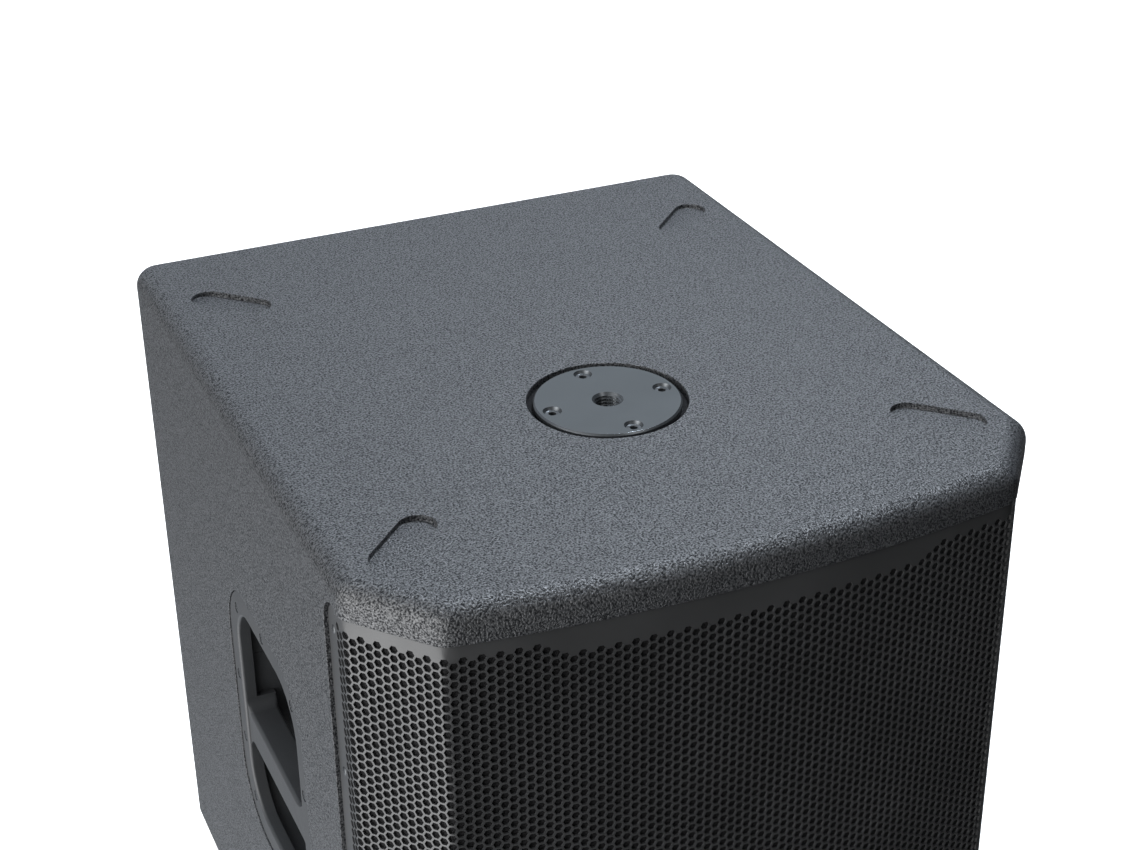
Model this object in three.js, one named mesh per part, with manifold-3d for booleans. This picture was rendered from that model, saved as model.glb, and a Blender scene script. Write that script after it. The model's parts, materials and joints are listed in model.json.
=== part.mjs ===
// A powered PA subwoofer cabinet with a pole mount, a wrap-around grille, two handles, a 15-inch woofer
// and an amplifier in its back. Millimetres, +Z up; the front faces -Y and the origin is on the floor,
// under the middle of the cabinet.

import * as THREE from 'three';
import { mergeVertices } from 'three/addons/utils/BufferGeometryUtils.js';
import Module from 'manifold-3d';

// ---------------------------------------------------------------- driving dimensions

const GAP = 0.3;                  // kept between pieces that touch
const CLEARANCE = 0.5;            // round a piece that drops into a cut-out
const SEAM = 0.5;                 // how far two halves of one solid run into each other

// cabinet
const WIDTH = 500;
const DEPTH = 602;
const CABINET_HEIGHT = 559;
const FOOT_HEIGHT = 8;
const PANEL = 18;                 // plywood thickness
const EDGE_RADIUS = 15;           // top and bottom edges
const BACK_CORNER_RADIUS = 19;
const FRONT_BEND_RADIUS = 18;     // where side, chamfer and front meet
const FRONT_BULGE = 16.5;         // how far the middle of the front stands ahead of its corners
const CHAMFER = 46.5;             // 45 degree front corners, measured along each axis
const LIP_HEIGHT = 26;            // front edge of the top and bottom panels
const LIP_DEPTH = 16;

// grille
const GRILLE_SINK = 2;            // below the cabinet's outline
const GRILLE_SHEET = 1.5;
const GRILLE_BEND_RADIUS = 10;
const FLANGE_BACK_Y = -197.5;
const FLANGE_CORNER = 20;
const FLANGE_FIELD_BACK_Y = -196.5;
const FOAM_THICKNESS = 8;
const FOAM_GAP = 0.4;
const FOAM_SETBACK = 4.5;          // its ends stop this far in front of the baffle

// stacking slots and feet
const SLOT_LENGTH = 67;
const SLOT_WIDTH = 26;
const SLOT_DEPTH = 4;
const SLOT_SPACING = 392;
const SLOT_MIDDLE_Y = -3;
const FOOT_LENGTH = 62;
const FOOT_WIDTH = 22;

// pole plate
const PLATE_Y = -79.2;
const PLATE_RADIUS = 52.8;
const PLATE_THICKNESS = 6;
const PLATE_RECESS_RADIUS = 57.3;
const BOSS_RADIUS = 18;
const BOSS_LENGTH = 36;
const THREAD_RADIUS = 8.75;
const THREAD_MOUTH_RADIUS = 11.2;
const THREAD_DEPTH = 38;
const PLATE_SCREW_CIRCLE = 42.5;
const PLATE_SCREW_RADIUS = 3;
const PLATE_SCREW_HEAD_RADIUS = 6.2;
const PLATE_SCREW_LENGTH = 26;
const PLATE_SCREW_TOP = -0.5;     // below the plate's face

// handles
const HANDLE_Y = -19;
const HANDLE_Z = 295;
const HANDLE_FLANGE = { width: 185, height: 225, radius: 52 };
const HANDLE_MOUTH = { width: 147, height: 188, radius: 38 };
const HANDLE_UNDERCUT = 6;         // how much wider the cup is than its mouth, all round
const HANDLE_WALL = 3;
const HANDLE_SINK = 1;
const HANDLE_COLLAR_DEPTH = 11;
const HANDLE_DEPTH = 64;
const HANDLE_BAR = { z: -22, height: 26, front: 5, back: 28, radius: 8 };

// baffle, port and woofer
const BAFFLE_FRONT_Y = -236;
const PORT_HALF_WIDTH = 200;
const PORT_BOTTOM_Z = 32;
const SHELF_Z = 98.3;
const SHELF_BACK_Y = 80;
const WOOFER_Z = 318;
const WOOFER_CUTOUT_RADIUS = 178.5;
const FRAME_RADIUS = 194;
const CONE_RADIUS = 164;
const COIL_RADIUS = 39.4;
const FRAME_WINDOWS = 12;

// amplifier, in the back panel
const AMP_Z = 300;
const TRAY = { width: 270, height: 360, radius: 12 };
const TRAY_DISH = { width: 230, height: 320, radius: 10 };
const TRAY_SHEET = 3;
const TRAY_FACE_Y = -22;          // from the cabinet's back
const COVER_DEPTH = 105;
const COVER_SHEET = 2;

// ---------------------------------------------------------------- derived places

const HALF_WIDTH = WIDTH / 2;
const BACK_Y = DEPTH / 2;
const FRONT_Y = -DEPTH / 2;
const BOTTOM_Z = FOOT_HEIGHT;
const TOP_Z = BOTTOM_Z + CABINET_HEIGHT;
const CREASE_Y = FRONT_Y + FRONT_BULGE + CHAMFER;
const CORNER_X = HALF_WIDTH - CHAMFER;
const FRONT_RADIUS = (CORNER_X ** 2 + FRONT_BULGE ** 2) / (2 * FRONT_BULGE);
const FRONT_CENTRE_Y = FRONT_Y + FRONT_RADIUS;
const INNER_X = HALF_WIDTH - PANEL;
const INNER_BOTTOM_Z = BOTTOM_Z + PANEL;
const INNER_TOP_Z = TOP_Z - PANEL;
const INNER_BACK_Y = BACK_Y - PANEL;
const LIP_BOTTOM_Z = TOP_Z - LIP_HEIGHT;
const LIP_TOP_Z = BOTTOM_Z + LIP_HEIGHT;
const MIDDLE_Z = (TOP_Z + BOTTOM_Z) / 2;

// ---------------------------------------------------------------- solids

const wasm = await Module();
wasm.setup();

function volumeOf(position, index) {
  const a = new THREE.Vector3();
  const b = new THREE.Vector3();
  const c = new THREE.Vector3();
  let volume = 0;
  for (let i = 0; i < index.length; i += 3) {
    a.fromBufferAttribute(position, index[i]);
    b.fromBufferAttribute(position, index[i + 1]);
    c.fromBufferAttribute(position, index[i + 2]);
    volume += a.dot(b.cross(c)) / 6;
  }
  return volume;
}

// A closed three.js geometry as a manifold solid, facing out.
function solid(geometry) {
  geometry.deleteAttribute('normal');
  geometry.deleteAttribute('uv');
  const welded = mergeVertices(geometry, 1e-4);
  const source = welded.index.array;
  const inward = volumeOf(welded.attributes.position, source) < 0;
  const triangles = [];
  for (let i = 0; i < source.length; i += 3) {
    const [a, b, c] = [source[i], source[i + 1], source[i + 2]];
    if (a !== b && b !== c && c !== a) triangles.push(a, ...(inward ? [c, b] : [b, c]));
  }
  const vertProperties = Float32Array.from(welded.attributes.position.array);
  const triVerts = Uint32Array.from(triangles);
  return new wasm.Manifold(new wasm.Mesh({ numProp: 3, vertProperties, triVerts }));
}

function geometryOf(shape) {
  const { vertProperties, triVerts } = shape.getMesh();
  const geometry = new THREE.BufferGeometry();
  geometry.setAttribute('position', new THREE.BufferAttribute(vertProperties, 3));
  geometry.setIndex(new THREE.BufferAttribute(triVerts, 1));
  geometry.computeVertexNormals();
  return geometry;
}

const joined = (...shapes) => shapes.reduce((all, next) => all.add(next));
const cut = (shape, ...tools) => tools.reduce((rest, tool) => rest.subtract(tool), shape);

function block([x0, x1], [y0, y1], [z0, z1]) {
  const geometry = new THREE.BoxGeometry(x1 - x0, y1 - y0, z1 - z0);
  geometry.translate((x0 + x1) / 2, (y0 + y1) / 2, (z0 + z1) / 2);
  return solid(geometry);
}

function extruded(points, depth) {
  return new THREE.ExtrudeGeometry(new THREE.Shape(points), { depth, bevelEnabled: false });
}

// An outline drawn in X and Y, standing from z0 to z1.
function prismZ(points, z0, z1) {
  return solid(extruded(points, z1 - z0).translate(0, 0, z0));
}

// An outline drawn in Y and Z, running from x0 to x1.
function prismX(points, x0, x1) {
  const turn = new THREE.Matrix4().set(0, 0, 1, x0, 1, 0, 0, 0, 0, 1, 0, 0, 0, 0, 0, 1);
  return solid(extruded(points, x1 - x0).applyMatrix4(turn));
}

// An outline drawn in X and Z, running from y0 to y1.
function prismY(points, y0, y1) {
  const turn = new THREE.Matrix4().set(1, 0, 0, 0, 0, 0, -1, y1, 0, 1, 0, 0, 0, 0, 0, 1);
  return solid(extruded(points, y1 - y0).applyMatrix4(turn));
}

function cylinderY(radius, y0, y1, x = 0, z = 0, segments = 24) {
  const geometry = new THREE.CylinderGeometry(radius, radius, y1 - y0, segments);
  return solid(geometry.translate(x, (y0 + y1) / 2, z));
}

function coneZ(lowRadius, highRadius, z0, z1, x = 0, y = 0, segments = 24) {
  const geometry = new THREE.CylinderGeometry(highRadius, lowRadius, z1 - z0, segments);
  return solid(geometry.rotateX(Math.PI / 2).translate(x, y, (z0 + z1) / 2));
}

function cylinderZ(radius, z0, z1, x = 0, y = 0, segments = 24) {
  return coneZ(radius, radius, z0, z1, x, y, segments);
}

// A profile of [radius, y] points turned about the Y axis.
function turned(profile, segments = 48) {
  const points = [...profile, profile[0]].map(([radius, y]) => new THREE.Vector2(radius, y));
  return solid(new THREE.LatheGeometry(points, segments));
}

// ---------------------------------------------------------------- outlines

const point = (x, y) => new THREE.Vector2(x, y);

function arcPoints(x, y, radius, from, to, steps) {
  const points = [];
  for (let i = 0; i <= steps; i += 1) {
    const angle = from + ((to - from) * i) / steps;
    points.push(point(x + radius * Math.cos(angle), y + radius * Math.sin(angle)));
  }
  return points;
}

function roundedRect({ width, height, radius }, y = 0, z = 0, steps = 6) {
  const a = width / 2 - radius;
  const b = height / 2 - radius;
  const centres = [[a, b], [-a, b], [-a, -b], [a, -b]];
  return centres.flatMap(([cy, cz], i) => {
    const start = (i * Math.PI) / 2;
    return arcPoints(y + cy, z + cz, radius, start, start + Math.PI / 2, steps);
  });
}

// The same outline, larger by a margin all round.
function grown({ width, height, radius }, margin) {
  return { width: width + 2 * margin, height: height + 2 * margin, radius: radius + margin };
}

function stadium(length, width, x, y, angle, steps = 8) {
  const reach = (length - width) / 2;
  const ends = [angle, angle + Math.PI];
  return ends.flatMap((turn) => {
    const cx = x + reach * Math.cos(turn);
    const cy = y + reach * Math.sin(turn);
    return arcPoints(cx, cy, width / 2, turn - Math.PI / 2, turn + Math.PI / 2, steps);
  });
}

// The arc that rounds the corner between two straight runs.
function fillet(before, corner, after, radius, steps) {
  const u = before.clone().sub(corner).normalize();
  const v = after.clone().sub(corner).normalize();
  const half = Math.acos(u.dot(v)) / 2;
  const middle = u.clone().add(v).normalize();
  const centre = corner.clone().addScaledVector(middle, radius / Math.sin(half));
  const from = corner.clone().addScaledVector(u, radius / Math.tan(half)).sub(centre);
  const to = corner.clone().addScaledVector(v, radius / Math.tan(half)).sub(centre);
  const start = from.angle();
  let sweep = to.angle() - start;
  if (sweep > Math.PI) sweep -= 2 * Math.PI;
  if (sweep < -Math.PI) sweep += 2 * Math.PI;
  return arcPoints(centre.x, centre.y, radius, start, start + sweep, steps);
}

const chamferX = (inset, y) => y + HALF_WIDTH - CREASE_Y - inset * Math.SQRT2;

// The corner between chamfer and front, at a given distance inside the cabinet's outline.
function frontCorner(inset) {
  const offset = chamferX(inset, 0) + FRONT_CENTRE_Y;
  const x = (offset - Math.sqrt(2 * (FRONT_RADIUS - inset) ** 2 - offset ** 2)) / 2;
  return point(x, x - chamferX(inset, 0));
}

const mirrored = (points) => points.map(({ x, y }) => point(-x, y)).reverse();

// Right half of the front, from its middle outwards, ending at startY on the side or on the chamfer.
function frontHalf(inset, startY, bendRadius) {
  const corner = frontCorner(inset);
  const crease = point(HALF_WIDTH - inset, CREASE_Y + inset * (Math.SQRT2 - 1));
  const end = point(startY > crease.y ? crease.x : chamferX(inset, startY), startY);
  const radius = FRONT_RADIUS - inset;
  const halfAngle = Math.asin(corner.x / radius);
  const bulge = arcPoints(0, FRONT_CENTRE_Y, radius, -Math.PI / 2, halfAngle - Math.PI / 2, 10);
  const beforeCorner = bulge[bulge.length - 2];
  const front = [...bulge.slice(0, -1), ...fillet(beforeCorner, corner, crease, bendRadius, 4)];
  if (startY <= crease.y) return [...front, end];
  return [...front, ...fillet(corner, crease, end, bendRadius, 4), end];
}

// From the right end, round the front, to the left end.
function frontPath(inset, startY, bendRadius) {
  const half = frontHalf(inset, startY, bendRadius);
  return [...half.slice(1).reverse(), ...mirrored(half).reverse()];
}

function cabinetOutline(inset = 0) {
  const x = HALF_WIDTH - inset;
  const y = BACK_Y - inset;
  const radius = BACK_CORNER_RADIUS - inset;
  const right = arcPoints(x - radius, y - radius, radius, 0, Math.PI / 2, 6);
  const middleY = 0;
  return [...right, ...mirrored(right), ...frontPath(inset, middleY, FRONT_BEND_RADIUS).reverse()];
}

// ---------------------------------------------------------------- materials and the scene

const material = (color, roughness, metalness = 0) =>
  new THREE.MeshStandardMaterial({ color, roughness, metalness });

const PAINT = material(0x3d4043, 0.72);
const BARE_WOOD = material(0xb08c5c, 0.8);
const GRILLE_PAINT = material(0x2e3031, 0.5, 0.4);
const FOAM = material(0x0c0c0d, 0.95);
const PLATE_FINISH = material(0x4a4f55, 0.45, 0.8);
const ZINC = material(0x6f7478, 0.4, 0.8);
const MOULDING = material(0x303234, 0.6);
const RUBBER = material(0x101011, 0.9);
const CONE_PAPER = material(0x161617, 0.85);
const SURROUND_RUBBER = material(0x0e0e0f, 0.7);
const SPIDER_CLOTH = material(0xa58a3c, 0.9);
const CAST_ALUMINIUM = material(0x1d1e20, 0.6, 0.5);
const FERRITE = material(0x28282a, 0.75);
const COPPER = material(0xb06a3a, 0.4, 0.8);
const AMP_PAINT = material(0x1b1c1e, 0.55, 0.3);
const ALUMINIUM = material(0x8f9296, 0.45, 0.9);
const BOARD = material(0x1d5a34, 0.6);
const CORE_WRAP = material(0x3c3524, 0.7);
const CAN_SLEEVE = material(0x22262c, 0.45);
const SWITCH_RED = material(0x8c1a18, 0.4);
const WINDOW = material(0x0a1014, 0.12);
const KNOB = material(0x161718, 0.6);
const CABLE = material(0x141414, 0.7);

const speaker = new THREE.Group();
speaker.name = 'pa_speaker';

function part(parent, name, shape, look) {
  const mesh = new THREE.Mesh(geometryOf(shape), look);
  mesh.name = name;
  parent.add(mesh);
  return mesh;
}

function groupAt(x, y, z) {
  const group = new THREE.Group();
  group.position.set(x, y, z);
  speaker.add(group);
  return group;
}

// ---------------------------------------------------------------- cabinet

function cabinetBody() {
  const geometry = new THREE.ExtrudeGeometry(new THREE.Shape(cabinetOutline()), {
    depth: CABINET_HEIGHT - 2 * EDGE_RADIUS,
    bevelSize: EDGE_RADIUS,
    bevelThickness: EDGE_RADIUS,
    bevelOffset: -EDGE_RADIUS,
    bevelSegments: 5,
  });
  return solid(geometry.translate(0, 0, BOTTOM_Z + EDGE_RADIUS));
}

const FRONT_EDGE_Y = BAFFLE_FRONT_Y;
const everywhereX = [-WIDTH, WIDTH];
const everywhereY = [-DEPTH, DEPTH];

// The part of the lip that hangs in front of the baffle, between two heights.
function lip(body, z0, z1) {
  const region = block(everywhereX, [-DEPTH, FRONT_EDGE_Y], [z0, z1]);
  const hollow = prismZ(cabinetOutline(LIP_DEPTH), z0, z1);
  return cut(body.intersect(region), hollow);
}

function slotPlaces() {
  const half = SLOT_SPACING / 2;
  const places = [];
  for (const sideX of [-1, 1]) {
    for (const sideY of [-1, 1]) {
      places.push({ x: sideX * half, y: SLOT_MIDDLE_Y + sideY * half, angle: (sideX * sideY * Math.PI) / 4 });
    }
  }
  return places;
}

const screwAngles = [0, 1, 2, 3].map((quarter) => (quarter * Math.PI) / 2);

function plateScrewPlace(angle) {
  return [PLATE_SCREW_CIRCLE * Math.cos(angle), PLATE_Y + PLATE_SCREW_CIRCLE * Math.sin(angle)];
}

function topPanel(body) {
  const slab = body.intersect(block(everywhereX, everywhereY, [INNER_TOP_Z, TOP_Z]));
  const floorZ = TOP_Z - PLATE_THICKNESS - GAP;
  const slots = slotPlaces().map(({ x, y, angle }) =>
    prismZ(stadium(SLOT_LENGTH, SLOT_WIDTH, x, y, angle), TOP_Z - SLOT_DEPTH, TOP_Z + 1));
  const screwHoles = screwAngles.map((angle) => {
    const [x, y] = plateScrewPlace(angle);
    return cylinderZ(PLATE_SCREW_RADIUS + GAP, INNER_TOP_Z - 1, floorZ + 1, x, y, 12);
  });
  return cut(
    joined(slab, lip(body, LIP_BOTTOM_Z, INNER_TOP_Z)),
    cylinderZ(PLATE_RECESS_RADIUS, floorZ, TOP_Z + 1, 0, PLATE_Y, 48),
    cylinderZ(BOSS_RADIUS + GAP, INNER_TOP_Z - 1, floorZ + 1, 0, PLATE_Y),
    ...slots,
    ...screwHoles,
  );
}

function bottomPanel(body) {
  const slab = body.intersect(block(everywhereX, everywhereY, [BOTTOM_Z, INNER_BOTTOM_Z]));
  return joined(slab, lip(body, INNER_BOTTOM_Z, LIP_TOP_Z));
}

// A field sunk in the side panel for the grille's flange: rounded behind, open in front.
function flangeOutline(backY, frontY, z0, z1, radius) {
  const quarter = Math.PI / 2;
  return [
    point(frontY, z0),
    ...arcPoints(backY - radius, z0 + radius, radius, -quarter, 0, 6),
    ...arcPoints(backY - radius, z1 - radius, radius, 0, quarter, 6),
    point(frontY, z1),
  ];
}

function leftPanel(body) {
  const z = [INNER_BOTTOM_Z + GAP, INNER_TOP_Z - GAP];
  const board = body.intersect(block([-HALF_WIDTH, -INNER_X], [FRONT_EDGE_Y, BACK_Y], z));
  const floor = -HALF_WIDTH + GRILLE_SINK + GRILLE_SHEET + GAP;
  const field = flangeOutline(FLANGE_FIELD_BACK_Y, FRONT_EDGE_Y - 1, z[0] - 1, z[1] + 1, FLANGE_CORNER);
  const bendRoom = [FRONT_EDGE_Y - 1, FRONT_EDGE_Y + 6];
  const seat = grown(HANDLE_FLANGE, CLEARANCE);
  const hole = grown(HANDLE_MOUTH, HANDLE_UNDERCUT + HANDLE_WALL + CLEARANCE);
  const seatFloor = -HALF_WIDTH + HANDLE_SINK + HANDLE_WALL + GAP;
  return cut(
    board,
    prismX(field, -WIDTH, floor),
    block([-WIDTH, floor + 3.2], bendRoom, [z[0] - 1, z[1] + 1]),
    prismX(roundedRect(seat, HANDLE_Y, HANDLE_Z), -WIDTH, seatFloor),
    prismX(roundedRect(hole, HANDLE_Y, HANDLE_Z), -WIDTH, 0),
  );
}

function backPanel(body) {
  const x = [-INNER_X + GAP, INNER_X - GAP];
  const board = body.intersect(block(x, [INNER_BACK_Y, BACK_Y], [INNER_BOTTOM_Z + GAP, INNER_TOP_Z - GAP]));
  const seat = grown(TRAY, CLEARANCE);
  const hole = grown(TRAY_DISH, 2 * CLEARANCE);
  return cut(
    board,
    prismY(roundedRect(seat, 0, AMP_Z, 4), BACK_Y - TRAY_SHEET - 1, BACK_Y + 1),
    prismY(roundedRect(hole, 0, AMP_Z, 4), INNER_BACK_Y - 1, BACK_Y + 1),
  );
}

function frontBaffle() {
  const x = [-INNER_X + GAP, INNER_X - GAP];
  const y = [BAFFLE_FRONT_Y, BAFFLE_FRONT_Y + PANEL];
  const past = [y[0] - 1, y[1] + 1];
  return cut(
    block(x, y, [INNER_BOTTOM_Z + GAP, INNER_TOP_Z - GAP]),
    cylinderY(WOOFER_CUTOUT_RADIUS, ...past, 0, WOOFER_Z, 48),
    block([-PORT_HALF_WIDTH, PORT_HALF_WIDTH], past, [PORT_BOTTOM_Z, SHELF_Z - GAP]),
  );
}

function foot(angle) {
  return prismZ(stadium(FOOT_LENGTH, FOOT_WIDTH, 0, 0, angle), 0, FOOT_HEIGHT - GAP);
}

function addCabinet() {
  const body = cabinetBody();
  const left = leftPanel(body);
  part(speaker, 'top_panel', topPanel(body), PAINT);
  part(speaker, 'bottom_panel', bottomPanel(body), PAINT);
  part(speaker, 'left_side_panel', left, PAINT);
  part(speaker, 'right_side_panel', left.mirror([1, 0, 0]), PAINT);
  part(speaker, 'back_panel', backPanel(body), PAINT);
  part(speaker, 'front_baffle', frontBaffle(), BARE_WOOD);

  const insideX = [-INNER_X + GAP, INNER_X - GAP];
  const shelfY = [BAFFLE_FRONT_Y + PANEL + GAP, SHELF_BACK_Y];
  part(speaker, 'port_shelf', block(insideX, shelfY, [SHELF_Z, SHELF_Z + PANEL]), BARE_WOOD);
  const braceY = [-20, 60];
  const braceZ = 470;
  part(speaker, 'cross_brace', block(insideX, braceY, [braceZ, braceZ + PANEL]), BARE_WOOD);

  slotPlaces().forEach(({ x, y, angle }, i) => {
    const mesh = part(speaker, `foot_${i + 1}`, foot(angle), RUBBER);
    mesh.position.set(x, y, 0);
  });
}

// ---------------------------------------------------------------- grille and foam

function sheetAlong(outerInset, thickness, startY, bendRadius, z0, z1) {
  const outer = frontPath(outerInset, startY, bendRadius);
  const inner = frontPath(outerInset + thickness, startY, bendRadius - thickness);
  return prismZ([...outer, ...inner.reverse()], z0, z1);
}

function grille() {
  const [lowZ, highZ] = [INNER_BOTTOM_Z + 2 * GAP, INNER_TOP_Z - 2 * GAP];
  const sheet = sheetAlong(GRILLE_SINK, GRILLE_SHEET, FLANGE_BACK_Y, GRILLE_BEND_RADIUS, lowZ, highZ);
  const sideView = flangeOutline(FLANGE_BACK_Y, -DEPTH, lowZ, highZ, FLANGE_CORNER);
  const inFront = [-DEPTH, FRONT_EDGE_Y + 0.5];
  return cut(
    sheet.intersect(prismX(sideView, ...everywhereX)),
    block(everywhereX, inFront, [0, LIP_TOP_Z + 0.4]),
    block(everywhereX, inFront, [LIP_BOTTOM_Z - 0.4, TOP_Z]),
  );
}

function addGrille() {
  part(speaker, 'grille', grille(), GRILLE_PAINT);
  const inset = GRILLE_SINK + GRILLE_SHEET + FOAM_GAP;
  const startY = FRONT_EDGE_Y - FOAM_SETBACK;
  const z = [LIP_TOP_Z + 2 * FOAM_GAP, LIP_BOTTOM_Z - 2 * FOAM_GAP];
  const foam = sheetAlong(inset, FOAM_THICKNESS, startY, FRONT_BEND_RADIUS, ...z);
  part(speaker, 'grille_foam', foam, FOAM);
}

// ---------------------------------------------------------------- pole plate

function polePlate() {
  const chamfer = 1;
  const bottomZ = -PLATE_THICKNESS;
  const countersinks = screwAngles.flatMap((angle) => {
    const x = PLATE_SCREW_CIRCLE * Math.cos(angle);
    const y = PLATE_SCREW_CIRCLE * Math.sin(angle);
    const shaft = PLATE_SCREW_RADIUS + GAP;
    const head = PLATE_SCREW_HEAD_RADIUS + GAP;
    return [
      cylinderZ(shaft, bottomZ - 1, PLATE_SCREW_TOP, x, y, 16),
      coneZ(shaft, head, PLATE_SCREW_TOP + shaft - head, PLATE_SCREW_TOP, x, y, 16),
      cylinderZ(head, PLATE_SCREW_TOP - 0.01, 1, x, y, 16),
    ];
  });
  return cut(
    joined(
      cylinderZ(PLATE_RADIUS, bottomZ, -chamfer, 0, 0, 48),
      coneZ(PLATE_RADIUS, PLATE_RADIUS - chamfer, -chamfer, 0, 0, 0, 48),
      cylinderZ(BOSS_RADIUS, bottomZ - BOSS_LENGTH, bottomZ + 0.5, 0, 0, 32),
    ),
    cylinderZ(THREAD_RADIUS, -THREAD_DEPTH, 1),
    coneZ(THREAD_RADIUS, THREAD_MOUTH_RADIUS, THREAD_RADIUS - THREAD_MOUTH_RADIUS, 0.01),
    ...countersinks,
  );
}

function countersunkScrew() {
  const headHeight = PLATE_SCREW_HEAD_RADIUS - PLATE_SCREW_RADIUS;
  const socketRadius = 2.3;
  const topZ = PLATE_SCREW_TOP;
  const socketDepth = 2.5;
  return cut(
    joined(
      coneZ(PLATE_SCREW_RADIUS, PLATE_SCREW_HEAD_RADIUS, topZ - headHeight, topZ, 0, 0, 16),
      cylinderZ(PLATE_SCREW_RADIUS, -PLATE_SCREW_LENGTH, topZ - headHeight + 0.1, 0, 0, 16),
    ),
    cylinderZ(socketRadius, topZ - socketDepth, topZ + 1, 0, 0, 6),
  );
}

function addPoleMount() {
  const plateGroup = groupAt(0, PLATE_Y, TOP_Z);
  part(plateGroup, 'pole_plate', polePlate(), PLATE_FINISH);
  screwAngles.forEach((angle, i) => {
    const screw = part(plateGroup, `pole_plate_screw_${i + 1}`, countersunkScrew(), ZINC);
    screw.position.set(PLATE_SCREW_CIRCLE * Math.cos(angle), PLATE_SCREW_CIRCLE * Math.sin(angle), 0);
  });
  const ringThickness = 6;
  const ringTopZ = -PANEL - GAP;
  const ringRadius = 55;
  const screwHoles = screwAngles.map((angle) => {
    const x = PLATE_SCREW_CIRCLE * Math.cos(angle);
    const y = PLATE_SCREW_CIRCLE * Math.sin(angle);
    return cylinderZ(PLATE_SCREW_RADIUS + GAP, ringTopZ - ringThickness - 1, ringTopZ + 1, x, y, 12);
  });
  const ring = cut(
    cylinderZ(ringRadius, ringTopZ - ringThickness, ringTopZ, 0, 0, 48),
    cylinderZ(BOSS_RADIUS + GAP, ringTopZ - ringThickness - 1, ringTopZ + 1, 0, 0, 32),
    ...screwHoles,
  );
  part(plateGroup, 'pole_plate_clamp_ring', ring, ZINC);
}

// ---------------------------------------------------------------- handles

// The left handle, with x running into the cabinet from its side.
function handle() {
  const cavity = grown(HANDLE_MOUTH, HANDLE_UNDERCUT);
  const cup = grown(cavity, HANDLE_WALL);
  const flangeBack = HANDLE_SINK + HANDLE_WALL;
  const { z, height, front, back, radius } = HANDLE_BAR;
  const barReach = cup.width / 2 - HANDLE_WALL / 2;
  const barSection = roundedRect({ width: back - front, height, radius }, (front + back) / 2, z, 4);
  const turn = new THREE.Matrix4().set(1, 0, 0, 0, 0, 0, -1, barReach, 0, 1, 0, 0, 0, 0, 0, 1);
  const bar = solid(extruded(barSection, 2 * barReach).applyMatrix4(turn));
  const shell = cut(
    joined(
      prismX(roundedRect(HANDLE_FLANGE), HANDLE_SINK, flangeBack),
      prismX(roundedRect(cup), flangeBack - SEAM, HANDLE_DEPTH),
    ),
    prismX(roundedRect(HANDLE_MOUTH), 0, HANDLE_COLLAR_DEPTH + 1),
    prismX(roundedRect(cavity), HANDLE_COLLAR_DEPTH, HANDLE_DEPTH - HANDLE_WALL),
  );
  return joined(shell, bar);
}

function addHandles() {
  const shape = handle();
  const left = groupAt(-HALF_WIDTH, HANDLE_Y, HANDLE_Z);
  part(left, 'handle_left', shape, MOULDING);
  const right = groupAt(HALF_WIDTH, HANDLE_Y, HANDLE_Z);
  right.rotation.z = Math.PI;
  part(right, 'handle_right', shape, MOULDING);
}

// ---------------------------------------------------------------- woofer

// Profiles are [radius, y], with y running back from the baffle's front.

const FRAME_BACK_Y = 111.4;
const TOP_PLATE_Y = [FRAME_BACK_Y + GAP, FRAME_BACK_Y + 8.3];
const MAGNET_Y = [TOP_PLATE_Y[1] + GAP, TOP_PLATE_Y[1] + 24.3];
const BACK_PLATE_Y = [MAGNET_Y[1] + GAP, MAGNET_Y[1] + 12.3];
const POLE_RADIUS = 36.2;
const VENT_RADIUS = 14;
const GASKET_Y = [-13, -10.6];
const CONE_THICKNESS = 2.2;
const CONE_NECK_Y = 76.2;
const COIL_Y = [68, 126];
const WINDING_Y = 108;

const ringProfile = (inner, outer, y0, y1) => [[inner, y0], [outer, y0], [outer, y1], [inner, y1]];

function wooferFrame() {
  const frontY = GASKET_Y[1] + GAP;
  const basket = turned([
    [FRAME_RADIUS, frontY],
    [FRAME_RADIUS, -GAP],
    [178, -GAP],
    [178, 5],
    [104, 92],
    [98, FRAME_BACK_Y],
    [60, FRAME_BACK_Y],
    [60, FRAME_BACK_Y - 4.4],
    [93, FRAME_BACK_Y - 4.4],
    [99, 90],
    [170, 6],
    [170, -6],
    [184, -6],
    [184, frontY],
  ]);
  const halfAngle = THREE.MathUtils.degToRad(9.5);
  const windows = [];
  for (let i = 0; i < FRAME_WINDOWS; i += 1) {
    const middle = ((i + 0.5) * 2 * Math.PI) / FRAME_WINDOWS;
    const corners = [[106, -1], [190, -1], [190, 1], [106, 1]].map(([radius, side]) => {
      const angle = middle + side * halfAngle;
      return point(radius * Math.cos(angle), radius * Math.sin(angle));
    });
    windows.push(prismY(corners, 14, 86));
  }
  return cut(basket, ...windows);
}

function halfRoll(middleRadius, y, rollRadius, thickness) {
  const outer = arcPoints(middleRadius, y, rollRadius, -Math.PI, 0, 6);
  const inner = arcPoints(middleRadius, y, rollRadius - thickness, 0, -Math.PI, 6);
  return turned([...outer, ...inner].map(({ x, y: rollY }) => [x, rollY]));
}

function spider() {
  const [inner, outer, middleY, swing, thickness] = [39.7, 101, 84, 1.6, 1];
  const waves = 5;
  const steps = waves * 2;
  const front = [];
  for (let i = 0; i <= steps; i += 1) {
    const radius = inner + ((outer - inner) * i) / steps;
    front.push([radius, middleY + (i % 2 === 0 ? swing : -swing)]);
  }
  const back = front.map(([radius, y]) => [radius, y + thickness]).reverse();
  return turned([...front, ...back], 32);
}

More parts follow.
